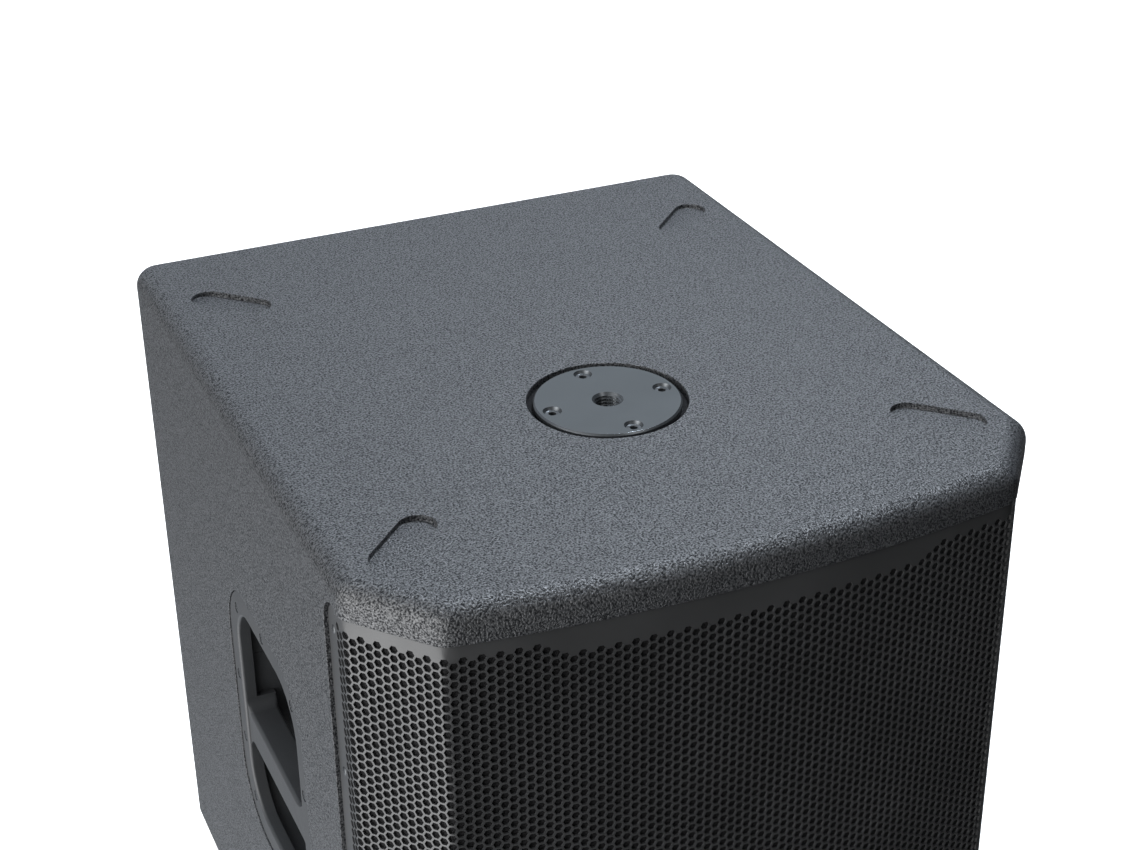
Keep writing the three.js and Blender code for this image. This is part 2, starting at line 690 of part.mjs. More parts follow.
function dustCap() {
  const [rimRadius, rimY, apexY, thickness] = [61, 58.6, 38, 1];
  const height = rimY - apexY;
  const radius = (rimRadius ** 2 + height ** 2) / (2 * height);
  const half = Math.asin(rimRadius / radius);
  const outer = arcPoints(0, apexY + radius, radius, -Math.PI / 2, half - Math.PI / 2, 6);
  const inner = arcPoints(0, apexY + radius, radius - thickness, half - Math.PI / 2, -Math.PI / 2, 6);
  return turned([...outer, ...inner].map(({ x, y }) => [Math.max(x, 0), y]), 24);
}

function addWoofer() {
  const group = groupAt(0, BAFFLE_FRONT_Y, WOOFER_Z);
  part(group, 'woofer_frame', wooferFrame(), CAST_ALUMINIUM);
  part(group, 'woofer_gasket', turned(ringProfile(184.3, FRAME_RADIUS - GAP, ...GASKET_Y)), FOAM);
  part(group, 'woofer_surround', halfRoll(171, -6.3, 7, 1.2), SURROUND_RUBBER);
  const neck = COIL_RADIUS + GAP;
  const rimY = -2;
  const cone = turned([
    [CONE_RADIUS, rimY - CONE_THICKNESS],
    [CONE_RADIUS, rimY],
    [neck, CONE_NECK_Y],
    [neck, CONE_NECK_Y - CONE_THICKNESS],
  ]);
  part(group, 'woofer_cone', cone, CONE_PAPER);
  part(group, 'woofer_dust_cap', dustCap(), CONE_PAPER);
  part(group, 'woofer_spider', spider(), SPIDER_CLOTH);
  const coilInner = COIL_RADIUS - 1.2;
  const coil = turned([
    [coilInner, COIL_Y[0]],
    [COIL_RADIUS, COIL_Y[0]],
    [COIL_RADIUS, WINDING_Y],
    [COIL_RADIUS + 1, WINDING_Y],
    [COIL_RADIUS + 1, COIL_Y[1]],
    [coilInner, COIL_Y[1]],
  ]);
  part(group, 'woofer_voice_coil', coil, COPPER);
  part(group, 'woofer_top_plate', turned(ringProfile(41.5, 95, ...TOP_PLATE_Y)), ZINC);
  part(group, 'woofer_magnet', turned(ringProfile(55, 100, ...MAGNET_Y)), FERRITE);
  const backPlate = turned([
    [VENT_RADIUS, TOP_PLATE_Y[0] + 1],
    [POLE_RADIUS, TOP_PLATE_Y[0] + 1],
    [POLE_RADIUS, BACK_PLATE_Y[0]],
    [95, BACK_PLATE_Y[0]],
    [95, BACK_PLATE_Y[1]],
    [VENT_RADIUS, BACK_PLATE_Y[1]],
  ]);
  part(group, 'woofer_back_plate', backPlate, ZINC);
  part(group, 'woofer_terminals', block([-148, -138.4], [52, 68], [-10, 10]), MOULDING);
}

function addSpeakerLead() {
  const route = [
    [-143, -167.3, 318],
    [-143, -130, 318],
    [-150, -60, 300],
    [-120, 60, 290],
    [-64, 120, 324],
    [-60, 148, 330],
    [-60, 170, 330],
  ].map((place) => new THREE.Vector3(...place));
  const radius = 3;
  const geometry = new THREE.ExtrudeGeometry(new THREE.Shape(arcPoints(0, 0, radius, 0, 1.75 * Math.PI, 7)), {
    steps: 30,
    bevelEnabled: false,
    extrudePath: new THREE.CatmullRomCurve3(route),
  });
  part(speaker, 'speaker_lead', solid(geometry), CABLE);
}

// ---------------------------------------------------------------- amplifier

// Places on the tray's face are [x, z] from its middle; y runs back from the cabinet's back.

const INPUTS = [[66, 46], [24, 46]];
const OUTPUTS = [[-24, 46], [-66, 46]];
const BUTTONS = { menu_button: [-20, 124], back_button: [-20, 104] };
const DISPLAY = [56, 114];
const MENU_KNOB = [8, 114];
const LEVEL_KNOB = [-62, 114];
const INLET = [70, -124];
const SWITCH = [14, -124];
const SOCKET_PLATE = { width: 26, height: 31, radius: 3 };
const SOCKET_BODY_RADIUS = 11.4;
const SOCKET_BORE_RADIUS = 9.2;
const SOCKET_FLOOR_Y = -37;
const SOCKET_BACK_Y = -41;
const SOCKET_PIN_CIRCLE = 3.6;
const SOCKET_PIN_RADIUS = 1.2;
const BUTTON_RADIUS = 5;
const SHAFT_RADIUS = 3;
const INLET_RIM = { width: 32, height: 24, radius: 4 };
const INLET_BODY = { width: 28, height: 20, radius: 3 };
const INLET_CAVITY = { width: 24, height: 16, radius: 3 };
const INLET_FLOOR_Y = -42;
const INLET_BACK_Y = -44;
const SWITCH_RIM = { width: 31, height: 22, radius: 3 };
const SWITCH_BODY = { width: 24.6, height: 16, radius: 1 };
const ROCKER = { width: 23, height: 12.8, depth: 9 };
const ROCKER_TILT = 6;             // degrees from level at each end of its travel
const DISPLAY_GLASS = { width: 62, height: 34, radius: 3 };
const HEATSINK = { width: 192, bottomZ: -88, topZ: 14, fins: 13, finThickness: 2.6, tipY: -2.5 };
const BOARD_THICKNESS = 1.6;
const POWER_BOARD_Y = -80;
const INPUT_BOARD_Y = -42.4;

function amplifierTray() {
  const faceBack = TRAY_FACE_Y - TRAY_SHEET;
  const hollow = {
    width: TRAY_DISH.width - 2 * TRAY_SHEET,
    height: TRAY_DISH.height - 2 * TRAY_SHEET,
    radius: TRAY_DISH.radius - TRAY_SHEET,
  };
  const past = [faceBack - 1, TRAY_FACE_Y + 1];
  const sockets = [...INPUTS, ...OUTPUTS].map(([x, z]) => cylinderY(SOCKET_BODY_RADIUS + GAP, ...past, x, z));
  const shafts = [MENU_KNOB, LEVEL_KNOB].map(([x, z]) => cylinderY(SHAFT_RADIUS + GAP, ...past, x, z, 12));
  const buttons = Object.values(BUTTONS).map(([x, z]) => cylinderY(BUTTON_RADIUS + GAP, ...past, x, z, 16));
  const inletHole = { width: INLET_BODY.width + 1, height: INLET_BODY.height + 1, radius: INLET_BODY.radius };
  const switchHole = { width: SWITCH_BODY.width, height: SWITCH_BODY.height, radius: SWITCH_BODY.radius };
  return cut(
    joined(
      prismY(roundedRect(TRAY, 0, 0, 4), -TRAY_SHEET - 0.6, -0.6),
      prismY(roundedRect(TRAY_DISH, 0, 0, 4), faceBack, -1),
    ),
    prismY(roundedRect(hollow, 0, 0, 4), TRAY_FACE_Y, 1),
    prismY(roundedRect(inletHole, ...INLET, 3), ...past),
    prismY(roundedRect(switchHole, ...SWITCH, 2), ...past),
    ...sockets,
    ...shafts,
    ...buttons,
  );
}

// A flush panel that stands on the tray's face.
function facePlate(outline, thickness) {
  return prismY(roundedRect(outline, 0, 0, 3), TRAY_FACE_Y + GAP, TRAY_FACE_Y + thickness);
}

function socket(pinCount) {
  const plate = facePlate(SOCKET_PLATE, 2.3);
  const body = cylinderY(SOCKET_BODY_RADIUS, SOCKET_BACK_Y, TRAY_FACE_Y + 1);
  const bore = cylinderY(SOCKET_BORE_RADIUS, SOCKET_FLOOR_Y, 0);
  const shell = cut(joined(plate, body), bore);
  const latchSlot = block([-4.6, 4.6], [TRAY_FACE_Y - 1, 0], [9.9, 14]);
  const pins = [];
  for (let i = 0; i < pinCount; i += 1) {
    const angle = (i * 2 * Math.PI) / pinCount;
    const x = SOCKET_PIN_CIRCLE * Math.cos(angle);
    const z = SOCKET_PIN_CIRCLE * Math.sin(angle);
    pins.push(cylinderY(SOCKET_PIN_RADIUS, SOCKET_FLOOR_Y - SEAM, SOCKET_FLOOR_Y + 10, x, z, 8));
  }
  return pinCount > 0 ? joined(shell, ...pins) : cut(shell, latchSlot);
}

function mainsInlet() {
  const shell = cut(
    joined(
      facePlate(INLET_RIM, 3),
      prismY(roundedRect(INLET_BODY, 0, 0, 3), INLET_BACK_Y, TRAY_FACE_Y + 1),
    ),
    prismY(roundedRect(INLET_CAVITY, 0, 0, 3), INLET_FLOOR_Y, 0),
  );
  const pinLength = 16;
  const pins = [[-7, -1.5], [0, 2.5], [7, -1.5]].map(([x, z]) =>
    block([x - 1, x + 1], [INLET_FLOOR_Y - SEAM, INLET_FLOOR_Y + pinLength], [z - 2, z + 2]));
  return joined(shell, ...pins);
}

function knob(radius, height) {
  const skirt = cylinderY(radius, TRAY_FACE_Y + 0.5, TRAY_FACE_Y + height);
  const shaft = cylinderY(SHAFT_RADIUS, -34, TRAY_FACE_Y + 1, 0, 0, 12);
  const mark = block([-0.6, 0.6], [TRAY_FACE_Y + height - 1, 0], [radius * 0.35, radius + 1]);
  return cut(joined(skirt, shaft), mark);
}

function heatsink() {
  const { width, bottomZ, topZ, fins, finThickness, tipY } = HEATSINK;
  const baseTopY = TRAY_FACE_Y + 4;
  const base = block([-width / 2, width / 2], [TRAY_FACE_Y + GAP, baseTopY], [bottomZ, topZ]);
  const blades = [];
  for (let i = 0; i < fins; i += 1) {
    const x = -width / 2 + ((width - finThickness) * i) / (fins - 1);
    blades.push(block([x, x + finThickness], [baseTopY - SEAM, tipY], [bottomZ, topZ]));
  }
  return joined(base, ...blades);
}

function chassisCover() {
  const outer = grown(TRAY_DISH, -COVER_SHEET);
  const inner = grown(outer, -COVER_SHEET);
  const backY = TRAY_FACE_Y - TRAY_SHEET - GAP;
  return cut(
    prismY(roundedRect(outer, 0, 0, 3), backY - COVER_DEPTH, backY),
    prismY(roundedRect(inner, 0, 0, 3), backY - COVER_DEPTH + COVER_SHEET, backY + 1),
  );
}

function addControls(group) {
  INPUTS.forEach(([x, z], i) => {
    const jack = part(group, `input_socket_${i + 1}`, socket(0), MOULDING);
    jack.position.set(x, 0, z);
    const latch = part(group, `input_latch_${i + 1}`, block([-4, 4], [-20.4, -17.4], [10.3, 13.4]), ZINC);
    latch.position.set(x, 0, z);
  });
  OUTPUTS.forEach(([x, z], i) => {
    const jack = part(group, `output_socket_${i + 1}`, socket(3), MOULDING);
    jack.position.set(x, 0, z);
  });
  part(group, 'mains_inlet', mainsInlet(), MOULDING).position.set(INLET[0], 0, INLET[1]);
  part(group, 'menu_knob', knob(13, 16), KNOB).position.set(MENU_KNOB[0], 0, MENU_KNOB[1]);
  part(group, 'level_knob', knob(9.5, 15), KNOB).position.set(LEVEL_KNOB[0], 0, LEVEL_KNOB[1]);
  for (const [name, [x, z]] of Object.entries(BUTTONS)) {
    part(group, name, cylinderY(BUTTON_RADIUS, -29, -18, 0, 0, 16), KNOB).position.set(x, 0, z);
  }
  const glass = part(group, 'display_window', facePlate(DISPLAY_GLASS, 2.5), WINDOW);
  glass.position.set(DISPLAY[0], 0, DISPLAY[1]);
}

function addPowerSwitch(group) {
  const bezel = cut(facePlate(SWITCH_RIM, 4), prismY(roundedRect(SWITCH_BODY, 0, 0, 2), TRAY_FACE_Y - 1, 0));
  part(group, 'power_switch_bezel', bezel, MOULDING).position.set(SWITCH[0], 0, SWITCH[1]);
  const offTilt = THREE.MathUtils.degToRad(-ROCKER_TILT);
  const halves = [ROCKER.width / 2, ROCKER.depth / 2, ROCKER.height / 2];
  const rocker = block(...halves.map((half) => [-half, half]));
  const mesh = part(group, 'power_rocker', rocker, SWITCH_RED);
  mesh.position.set(SWITCH[0], TRAY_FACE_Y + 2, SWITCH[1]);
  mesh.rotation.x = offTilt;
}

function addElectronics(group) {
  const boardY = [POWER_BOARD_Y - BOARD_THICKNESS, POWER_BOARD_Y];
  const inputBoardY = [INPUT_BOARD_Y - BOARD_THICKNESS, INPUT_BOARD_Y];
  part(group, 'amplifier_board', block([-100, 100], boardY, [-150, -10]), BOARD);
  part(group, 'power_supply_board', block([-100, 100], boardY, [10, 150]), BOARD);
  part(group, 'input_board', block([-96, 96], inputBoardY, [24, 140]), BOARD);
  const toroidY = TRAY_FACE_Y - TRAY_SHEET - COVER_DEPTH + COVER_SHEET;
  const toroid = turned(ringProfile(14, 40, toroidY, toroidY + 34), 32);
  part(group, 'transformer', toroid, CORE_WRAP).position.set(-50, 0, 80);
  for (const [i, z] of [52, 108].entries()) {
    const can = cylinderY(16, boardY[0] - 40, boardY[0] - GAP, 0, 0, 24);
    part(group, `capacitor_${i + 1}`, can, CAN_SLEEVE).position.set(50, 0, z);
  }
}

function addAmplifier() {
  const group = groupAt(0, BACK_Y, AMP_Z);
  part(group, 'amplifier_tray', amplifierTray(), AMP_PAINT);
  part(group, 'amplifier_heatsink', heatsink(), ALUMINIUM);
  part(group, 'amplifier_cover', chassisCover(), ZINC);
  addControls(group);
  addPowerSwitch(group);
  addElectronics(group);
}

// ---------------------------------------------------------------- assembly

addCabinet();
addGrille();
addPoleMount();
addHandles();
addWoofer();
addSpeakerLead();
addAmplifier();

export default speaker;
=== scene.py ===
"""Looks of a powered PA subwoofer cabinet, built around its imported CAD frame.

Metres, +Z up; the front faces -Y and the origin is on the floor under the middle of the cabinet.
"""
import json
import math

import bmesh
import bpy
from mathutils import Matrix, Vector
from mathutils.geometry import delaunay_2d_cdt

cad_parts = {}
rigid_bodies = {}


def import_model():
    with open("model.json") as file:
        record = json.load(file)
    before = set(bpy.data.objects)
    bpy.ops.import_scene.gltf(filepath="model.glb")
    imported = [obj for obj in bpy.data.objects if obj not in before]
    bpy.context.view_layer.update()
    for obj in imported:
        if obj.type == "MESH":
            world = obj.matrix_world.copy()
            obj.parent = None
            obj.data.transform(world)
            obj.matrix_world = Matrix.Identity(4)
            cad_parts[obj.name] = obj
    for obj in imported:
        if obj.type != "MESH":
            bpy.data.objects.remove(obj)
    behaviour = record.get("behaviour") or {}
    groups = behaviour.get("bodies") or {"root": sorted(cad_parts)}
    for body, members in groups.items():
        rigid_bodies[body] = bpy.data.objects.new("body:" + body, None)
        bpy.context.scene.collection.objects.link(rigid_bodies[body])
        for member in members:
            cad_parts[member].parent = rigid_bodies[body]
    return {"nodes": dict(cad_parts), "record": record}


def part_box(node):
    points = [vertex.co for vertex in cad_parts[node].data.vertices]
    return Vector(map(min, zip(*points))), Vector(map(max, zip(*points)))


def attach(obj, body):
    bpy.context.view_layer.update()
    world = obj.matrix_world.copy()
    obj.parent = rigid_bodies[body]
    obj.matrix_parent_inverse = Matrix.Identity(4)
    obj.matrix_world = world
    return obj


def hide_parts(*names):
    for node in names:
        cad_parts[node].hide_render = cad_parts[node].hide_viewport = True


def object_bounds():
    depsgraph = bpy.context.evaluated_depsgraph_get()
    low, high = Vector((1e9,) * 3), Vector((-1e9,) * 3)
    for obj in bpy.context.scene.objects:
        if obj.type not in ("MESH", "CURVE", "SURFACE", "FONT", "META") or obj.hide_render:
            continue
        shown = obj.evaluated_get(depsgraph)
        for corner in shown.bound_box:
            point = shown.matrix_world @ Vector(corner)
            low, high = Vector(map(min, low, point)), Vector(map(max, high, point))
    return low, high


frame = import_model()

CAD_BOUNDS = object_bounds()
MM = 0.001
TURN = 2 * math.pi

# ------------------------------------------------------------------ places, from the frame

LOW, HIGH = CAD_BOUNDS
HALF_WIDTH = HIGH.x
BACK_Y = HIGH.y
FRONT_Y = LOW.y
TOP_Z = HIGH.z
BOTTOM_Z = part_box("bottom_panel")[0].z
LIP_BOTTOM_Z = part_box("top_panel")[0].z
LIP_TOP_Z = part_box("bottom_panel")[1].z
MIDDLE_Z = (TOP_Z + BOTTOM_Z) / 2
BAFFLE_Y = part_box("front_baffle")[0].y
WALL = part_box("left_side_panel")[1].x + HALF_WIDTH

# driving dimensions of the cabinet's outline
EDGE_RADIUS = 15 * MM
BACK_CORNER_RADIUS = 19 * MM
BEND_RADIUS = 18 * MM
FRONT_BULGE = 16.5 * MM
CHAMFER_X, CHAMFER_Y = 46.5 * MM, 56 * MM
CHAMFER_LENGTH = math.hypot(CHAMFER_X, CHAMFER_Y)
CHAMFER_TURN = -math.atan2(CHAMFER_X, CHAMFER_Y)   # the way the right chamfer faces
CREASE_Y = FRONT_Y + FRONT_BULGE + CHAMFER_Y
OPENING_Y = CREASE_Y + 8 * MM
FRONT_RADIUS = ((HALF_WIDTH - CHAMFER_X) ** 2 + FRONT_BULGE**2) / (2 * FRONT_BULGE)
FRONT_CENTRE_Y = FRONT_Y + FRONT_RADIUS

# ------------------------------------------------------------------ outlines, as lists of (a, b)


def arc(cx, cy, radius, start, end, steps):
    angles = [start + (end - start) * i / steps for i in range(steps + 1)]
    return [(cx + radius * math.cos(a), cy + radius * math.sin(a)) for a in angles]


def circle(radius, steps=64):
    return arc(0, 0, radius, 0, TURN * (1 - 1 / steps), steps - 1)


def rounded_rect(width, height, radius, steps=8):
    a, b = width / 2 - radius, height / 2 - radius
    points = []
    for quarter, (cx, cy) in enumerate([(a, b), (-a, b), (-a, -b), (a, -b)]):
        start = quarter * TURN / 4
        points += arc(cx, cy, radius, start, start + TURN / 4, steps)
    return points


def stadium(length, width, angle, steps=12):
    reach = (length - width) / 2
    points = []
    for turn in (angle, angle + math.pi):
        cx, cy = reach * math.cos(turn), reach * math.sin(turn)
        points += arc(cx, cy, width / 2, turn - TURN / 4, turn + TURN / 4, steps)
    return points


def front_corner(inset):
    """Where the chamfer meets the front, that far inside the outline."""
    out = Vector((CHAMFER_Y, -CHAMFER_X)) / CHAMFER_LENGTH
    back = Vector((CHAMFER_X, CHAMFER_Y)) / CHAMFER_LENGTH
    centre = Vector((0, FRONT_CENTRE_Y))
    reach = out.dot(Vector((HALF_WIDTH, CREASE_Y)) - centre) - inset
    corner = centre + out * reach - back * math.sqrt((FRONT_RADIUS - inset) ** 2 - reach**2)
    return corner.x, corner.y


def front_bends(inset, radius):
    """The centres of the corner and crease bends, and the angle where the front's arc ends."""
    depth = inset + radius
    corner = front_corner(depth)
    crease = (HALF_WIDTH - depth, CREASE_Y + depth * (CHAMFER_LENGTH - CHAMFER_Y) / CHAMFER_X)
    return corner, crease, math.atan2(corner[1] - FRONT_CENTRE_Y, corner[0])


def cabinet_outline(inset=0.0):
    corner, crease, end = front_bends(0, BEND_RADIUS)
    bend = BEND_RADIUS - inset
    back = BACK_CORNER_RADIUS - inset
    centre_x, centre_y = HALF_WIDTH - BACK_CORNER_RADIUS, BACK_Y - BACK_CORNER_RADIUS
    half = arc(0, FRONT_CENTRE_Y, FRONT_RADIUS - inset, -TURN / 4, end, 24)[1:-1]
    half += arc(*corner, bend, end, CHAMFER_TURN, 6)
    half += arc(*crease, bend, CHAMFER_TURN, 0, 6)
    half += arc(centre_x, centre_y, back, 0, TURN / 4, 10)
    front_middle = [(0, FRONT_Y + inset)]
    return front_middle + half + [(-x, y) for x, y in reversed(half)]


# ------------------------------------------------------------------ meshes


def mesh_of(bm, name):
    bmesh.ops.recalc_face_normals(bm, faces=bm.faces)
    mesh = bpy.data.meshes.new(name)
    bm.to_mesh(mesh)
    bm.free()
    return mesh


def loft(loops, name="loft", ring=False):
    """A closed skin through loops of equally many points, capped at both ends or joined into a ring."""
    bm = bmesh.new()
    loops = [[bm.verts.new(p) for p in loop] for loop in loops]
    count = len(loops[0])
    for low, high in zip(loops, loops[1:] + loops[:1] if ring else loops[1:]):
        for i in range(count):
            j = (i + 1) % count
            bm.faces.new((low[i], low[j], high[j], high[i]))
    if not ring:
        bm.faces.new(loops[0][::-1])
        bm.faces.new(loops[-1])
    return mesh_of(bm, name)


def rings(profile, place, steps):
    """Circles of each (radius, depth) round an axis; place(a, b, depth) says where."""
    return [[place(a, b, depth) for a, b in circle(radius, steps)] for radius, depth in profile]


def turned(profile, place, steps):
    """A closed profile of (radius, depth) turned about an axis."""
    return loft(rings(profile, place, steps), "turned", ring=True)


def object_of(mesh, name):
    obj = bpy.data.objects.new(name, mesh)
    bpy.context.scene.collection.objects.link(obj)
    return obj


def evaluated_mesh(obj):
    """The object's mesh with its modifiers applied."""
    bpy.context.view_layer.update()
    mesh = bpy.data.meshes.new_from_object(obj.evaluated_get(bpy.context.evaluated_depsgraph_get()))
    obj.modifiers.clear()
    obj.data = mesh
    return mesh


def combine(obj, tools, operation="DIFFERENCE"):
    """Cuts the tools' meshes out of obj, or joins them to it, and deletes them."""
    group = bpy.data.collections.new("tools")
    for i, mesh in enumerate(tools):
        group.objects.link(bpy.data.objects.new(f"tool_{i}", mesh))
    bpy.context.scene.collection.children.link(group)
    boolean = obj.modifiers.new("combine", "BOOLEAN")
    boolean.operation = operation
    boolean.solver = "EXACT"
    boolean.operand_type = "COLLECTION"
    boolean.collection = group
    evaluated_mesh(obj)
    for tool in list(group.objects):
        bpy.data.objects.remove(tool)
    bpy.data.collections.remove(group)


def smooth(obj, angle=35):
    obj.data.shade_smooth()
    obj.data.set_sharp_from_angle(angle=math.radians(angle))
    weighted = obj.modifiers.new("flat_faces", "WEIGHTED_NORMAL")
    weighted.keep_sharp = True


def finish_piece(obj, material, body="cabinet", replaces=()):
    obj.data.materials.clear()
    obj.data.materials.append(material)
    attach(obj, body)
    if replaces:
        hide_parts(*replaces)


def mouth_profile(depth, edge, floor_radius):
    """(depth, growth) of a pocket whose mouth is rounded outwards and whose floor has a fillet."""
    turns = [TURN / 4 * i / 4 for i in range(5)]
    profile = [(-5 * MM, edge)]
    for t in turns:
        profile.append((edge * (1 - math.cos(t)), edge * (1 - math.sin(t))))
    for t in turns:
        sunk = depth - floor_radius + floor_radius * math.sin(t)
        profile.append((sunk, -floor_radius * (1 - math.cos(t))))
    return profile


def pocket(outline, place, profile):
    """A cutter: outline(growth) gives its section, place(a, b, depth) its points in space."""
    return loft([[place(a, b, depth) for a, b in outline(growth)] for depth, growth in profile])


def into_top(x, y):
    return lambda a, b, depth: Vector((x + a, y + b, TOP_Z - depth))


def into_side(sign, y, z):
    return lambda a, b, depth: Vector((sign * (HALF_WIDTH - depth), y + a, z + b))


def into_back(x, z):
    return lambda a, b, depth: Vector((x + a, BACK_Y - depth, z + b))


def box_mesh(low, high):
    corners = [(low[0], low[1]), (high[0], low[1]), (high[0], high[1]), (low[0], high[1])]
    return loft([[Vector((x, y, z)) for x, y in corners] for z in (low[2], high[2])])


# ------------------------------------------------------------------ materials


class Nodes:
    """A small hand for writing node trees."""

    def __init__(self, name, colour, roughness, metallic=0.0):
        self.material = bpy.data.materials.new(name)
        self.material.use_nodes = True
        self.tree = self.material.node_tree
        self.shader = self.tree.nodes["Principled BSDF"]
        self.shader.inputs["Base Color"].default_value = (*colour, 1)
        self.shader.inputs["Roughness"].default_value = roughness
        self.shader.inputs["Metallic"].default_value = metallic
        self.place = self.add("ShaderNodeTexCoord").outputs["Object"]

    def add(self, kind, **settings):
        node = self.tree.nodes.new(kind)
        for key, value in settings.items():
            setattr(node, key, value)
        return node

    def link(self, source, node, socket):
        self.tree.links.new(source, node.inputs[socket])

    def noise(self, size, detail=2.0, rough=0.5, stretch=None):
        """Noise whose lumps are about size metres across."""
        node = self.add("ShaderNodeTexNoise")
        node.inputs["Scale"].default_value = 1 / size
        node.inputs["Detail"].default_value = detail
        node.inputs["Roughness"].default_value = rough
        place = self.place
        if stretch:
            mapping = self.add("ShaderNodeMapping")
            mapping.inputs["Scale"].default_value = stretch
            self.link(place, mapping, "Vector")
            place = mapping.outputs["Vector"]
        self.link(place, node, "Vector")
        return node.outputs["Fac"]

    def cells(self, size, smoothness=0.6):
        """Rounded bumps about size metres apart."""
        node = self.add("ShaderNodeTexVoronoi", feature="SMOOTH_F1")
        node.inputs["Scale"].default_value = 1 / size
        node.inputs["Smoothness"].default_value = smoothness
        self.link(self.place, node, "Vector")
        return node.outputs["Distance"]

    def spread(self, value, low, high, start=0.0, end=1.0):
        """value, from start to end, taken to the range low to high."""
        node = self.add("ShaderNodeMapRange")
        for socket, number in zip(("From Min", "From Max", "To Min", "To Max"), (start, end, low, high)):
            node.inputs[socket].default_value = number
        self.link(value, node, "Value")
        return node.outputs["Result"]

    def math(self, operation, a, b):
        node = self.add("ShaderNodeMath", operation=operation)
        for i, value in enumerate((a, b)):
            if isinstance(value, (int, float)):
                node.inputs[i].default_value = value
            else:
                self.tree.links.new(value, node.inputs[i])
        return node.outputs["Value"]

    def blend(self, factor, first, second):
        node = self.add("ShaderNodeMix", data_type="RGBA")
        self.link(factor, node, "Factor")
        colours = [socket for socket in node.inputs if socket.type == "RGBA"]
        for socket, value in zip(colours, (first, second)):
            socket.default_value = (*value, 1)
        return next(socket for socket in node.outputs if socket.type == "RGBA")

    def colour(self, source):
        self.link(source, self.shader, "Base Color")

    def roughness(self, source):
        self.link(source, self.shader, "Roughness")

    def bump(self, *layers):
        """Layers of (height socket, depth in metres), finest last."""
        normal = None
        for height, depth in layers:
            node = self.add("ShaderNodeBump")
            node.inputs["Distance"].default_value = depth
            node.inputs["Strength"].default_value = 1.0
            self.link(height, node, "Height")
            if normal:
                self.link(normal, node, "Normal")
            normal = node.outputs["Normal"]
        self.link(normal, self.shader, "Normal")


def textured_paint():
    """Dark paint with a fine glittering grain: some grains reflect far more than others."""
    n = Nodes("cabinet_paint", (0.03, 0.032, 0.035), 0.36)
    grain = n.noise(1.3 * MM, 1, 0.5)
    fine = n.noise(0.6 * MM, 2, 0.6)
    drift = n.noise(90 * MM, 3)
    n.colour(n.blend(n.spread(grain, 0, 1, 0.36, 0.64), (0.018, 0.019, 0.021), (0.068, 0.071, 0.076)))
    n.link(n.spread(grain, 0.05, 0.95, 0.36, 0.64), n.shader, "Specular IOR Level")
    n.roughness(n.spread(drift, 0.35, 0.37, 0.35, 0.65))
    n.bump((grain, 0.9 * MM), (fine, 0.3 * MM))
    return n.material


def mottled(name, base, roughness, drift, tones, roughs, grain, depth, metallic=0.0):
    """A finish whose tone and roughness drift together under a fine grain.

    drift and grain are the (size, detail, rough) of a noise, tones two colours, and roughs
    the lowest and the highest roughness.
    """
    n = Nodes(name, base, roughness, metallic)
    change = n.noise(*drift)
    n.colour(n.blend(change, *tones))
    n.roughness(n.spread(change, *roughs, 0.35, 0.65))
    n.bump((n.noise(*grain), depth))
    return n.material


def plain_look(name, colour, roughness, grain, depth, metallic=0.0, spread=0.15):
    """An even finish with slow drifts of tone and a fine grain; grain and depth are in millimetres."""
    dark = [c * (1 - spread) for c in colour]
    light = [min(c * (1 + spread), 1) for c in colour]
    roughs = roughness * 0.9, min(roughness * 1.1, 1)
    fine = grain * MM, 3, 0.6
    return mottled(name, colour, roughness, (25 * MM, 4), (dark, light), roughs, fine, depth * MM, metallic)


def moulding():
    n = Nodes("moulding", (0.035, 0.037, 0.04), 0.48)
    grain = n.cells(0.6 * MM, 0.4)
    drift = n.noise(40 * MM, 3)
    n.colour(n.blend(drift, (0.031, 0.033, 0.036), (0.039, 0.041, 0.044)))
    n.roughness(n.spread(drift, 0.45, 0.56, 0.35, 0.65))
    n.bump((grain, 0.05 * MM))
    return n.material


def foam():
    n = Nodes("foam", (0.008, 0.008, 0.009), 0.95)
    n.shader.inputs["Specular IOR Level"].default_value = 0.1
    pores = n.cells(0.9 * MM, 0.2)
    n.colour(n.blend(n.spread(pores, 0, 1, 0.1, 0.6), (0.005, 0.005, 0.005), (0.018, 0.018, 0.019)))
    n.bump((pores, 0.5 * MM))
    return n.material


def woven(name, light, dark, size):
    """Threads crossing at right angles."""
    n = Nodes(name, light, 0.8)
    height = None
    for axis in ("X", "Z"):
        wave = n.add("ShaderNodeTexWave", bands_direction=axis)
        wave.inputs["Scale"].default_value = 1 / size / 3
        n.link(n.place, wave, "Vector")
        ridge = wave.outputs["Fac"]
        height = ridge if height is None else n.math("MULTIPLY", height, ridge)
    n.colour(n.blend(height, dark, light))
    n.roughness(n.spread(height, 0.7, 0.9))
    n.bump((height, size * 0.2))
    return n.material


def plywood():
    n = Nodes("plywood", (0.32, 0.2, 0.1), 0.65)
    grain = n.noise(6 * MM, 6, 0.65, stretch=(0.15, 1, 1))
    n.colour(n.blend(grain, (0.2, 0.12, 0.055), (0.42, 0.28, 0.15)))
    n.roughness(n.spread(grain, 0.55, 0.8, 0.3, 0.7))
    n.bump((grain, 0.15 * MM))
    return n.material


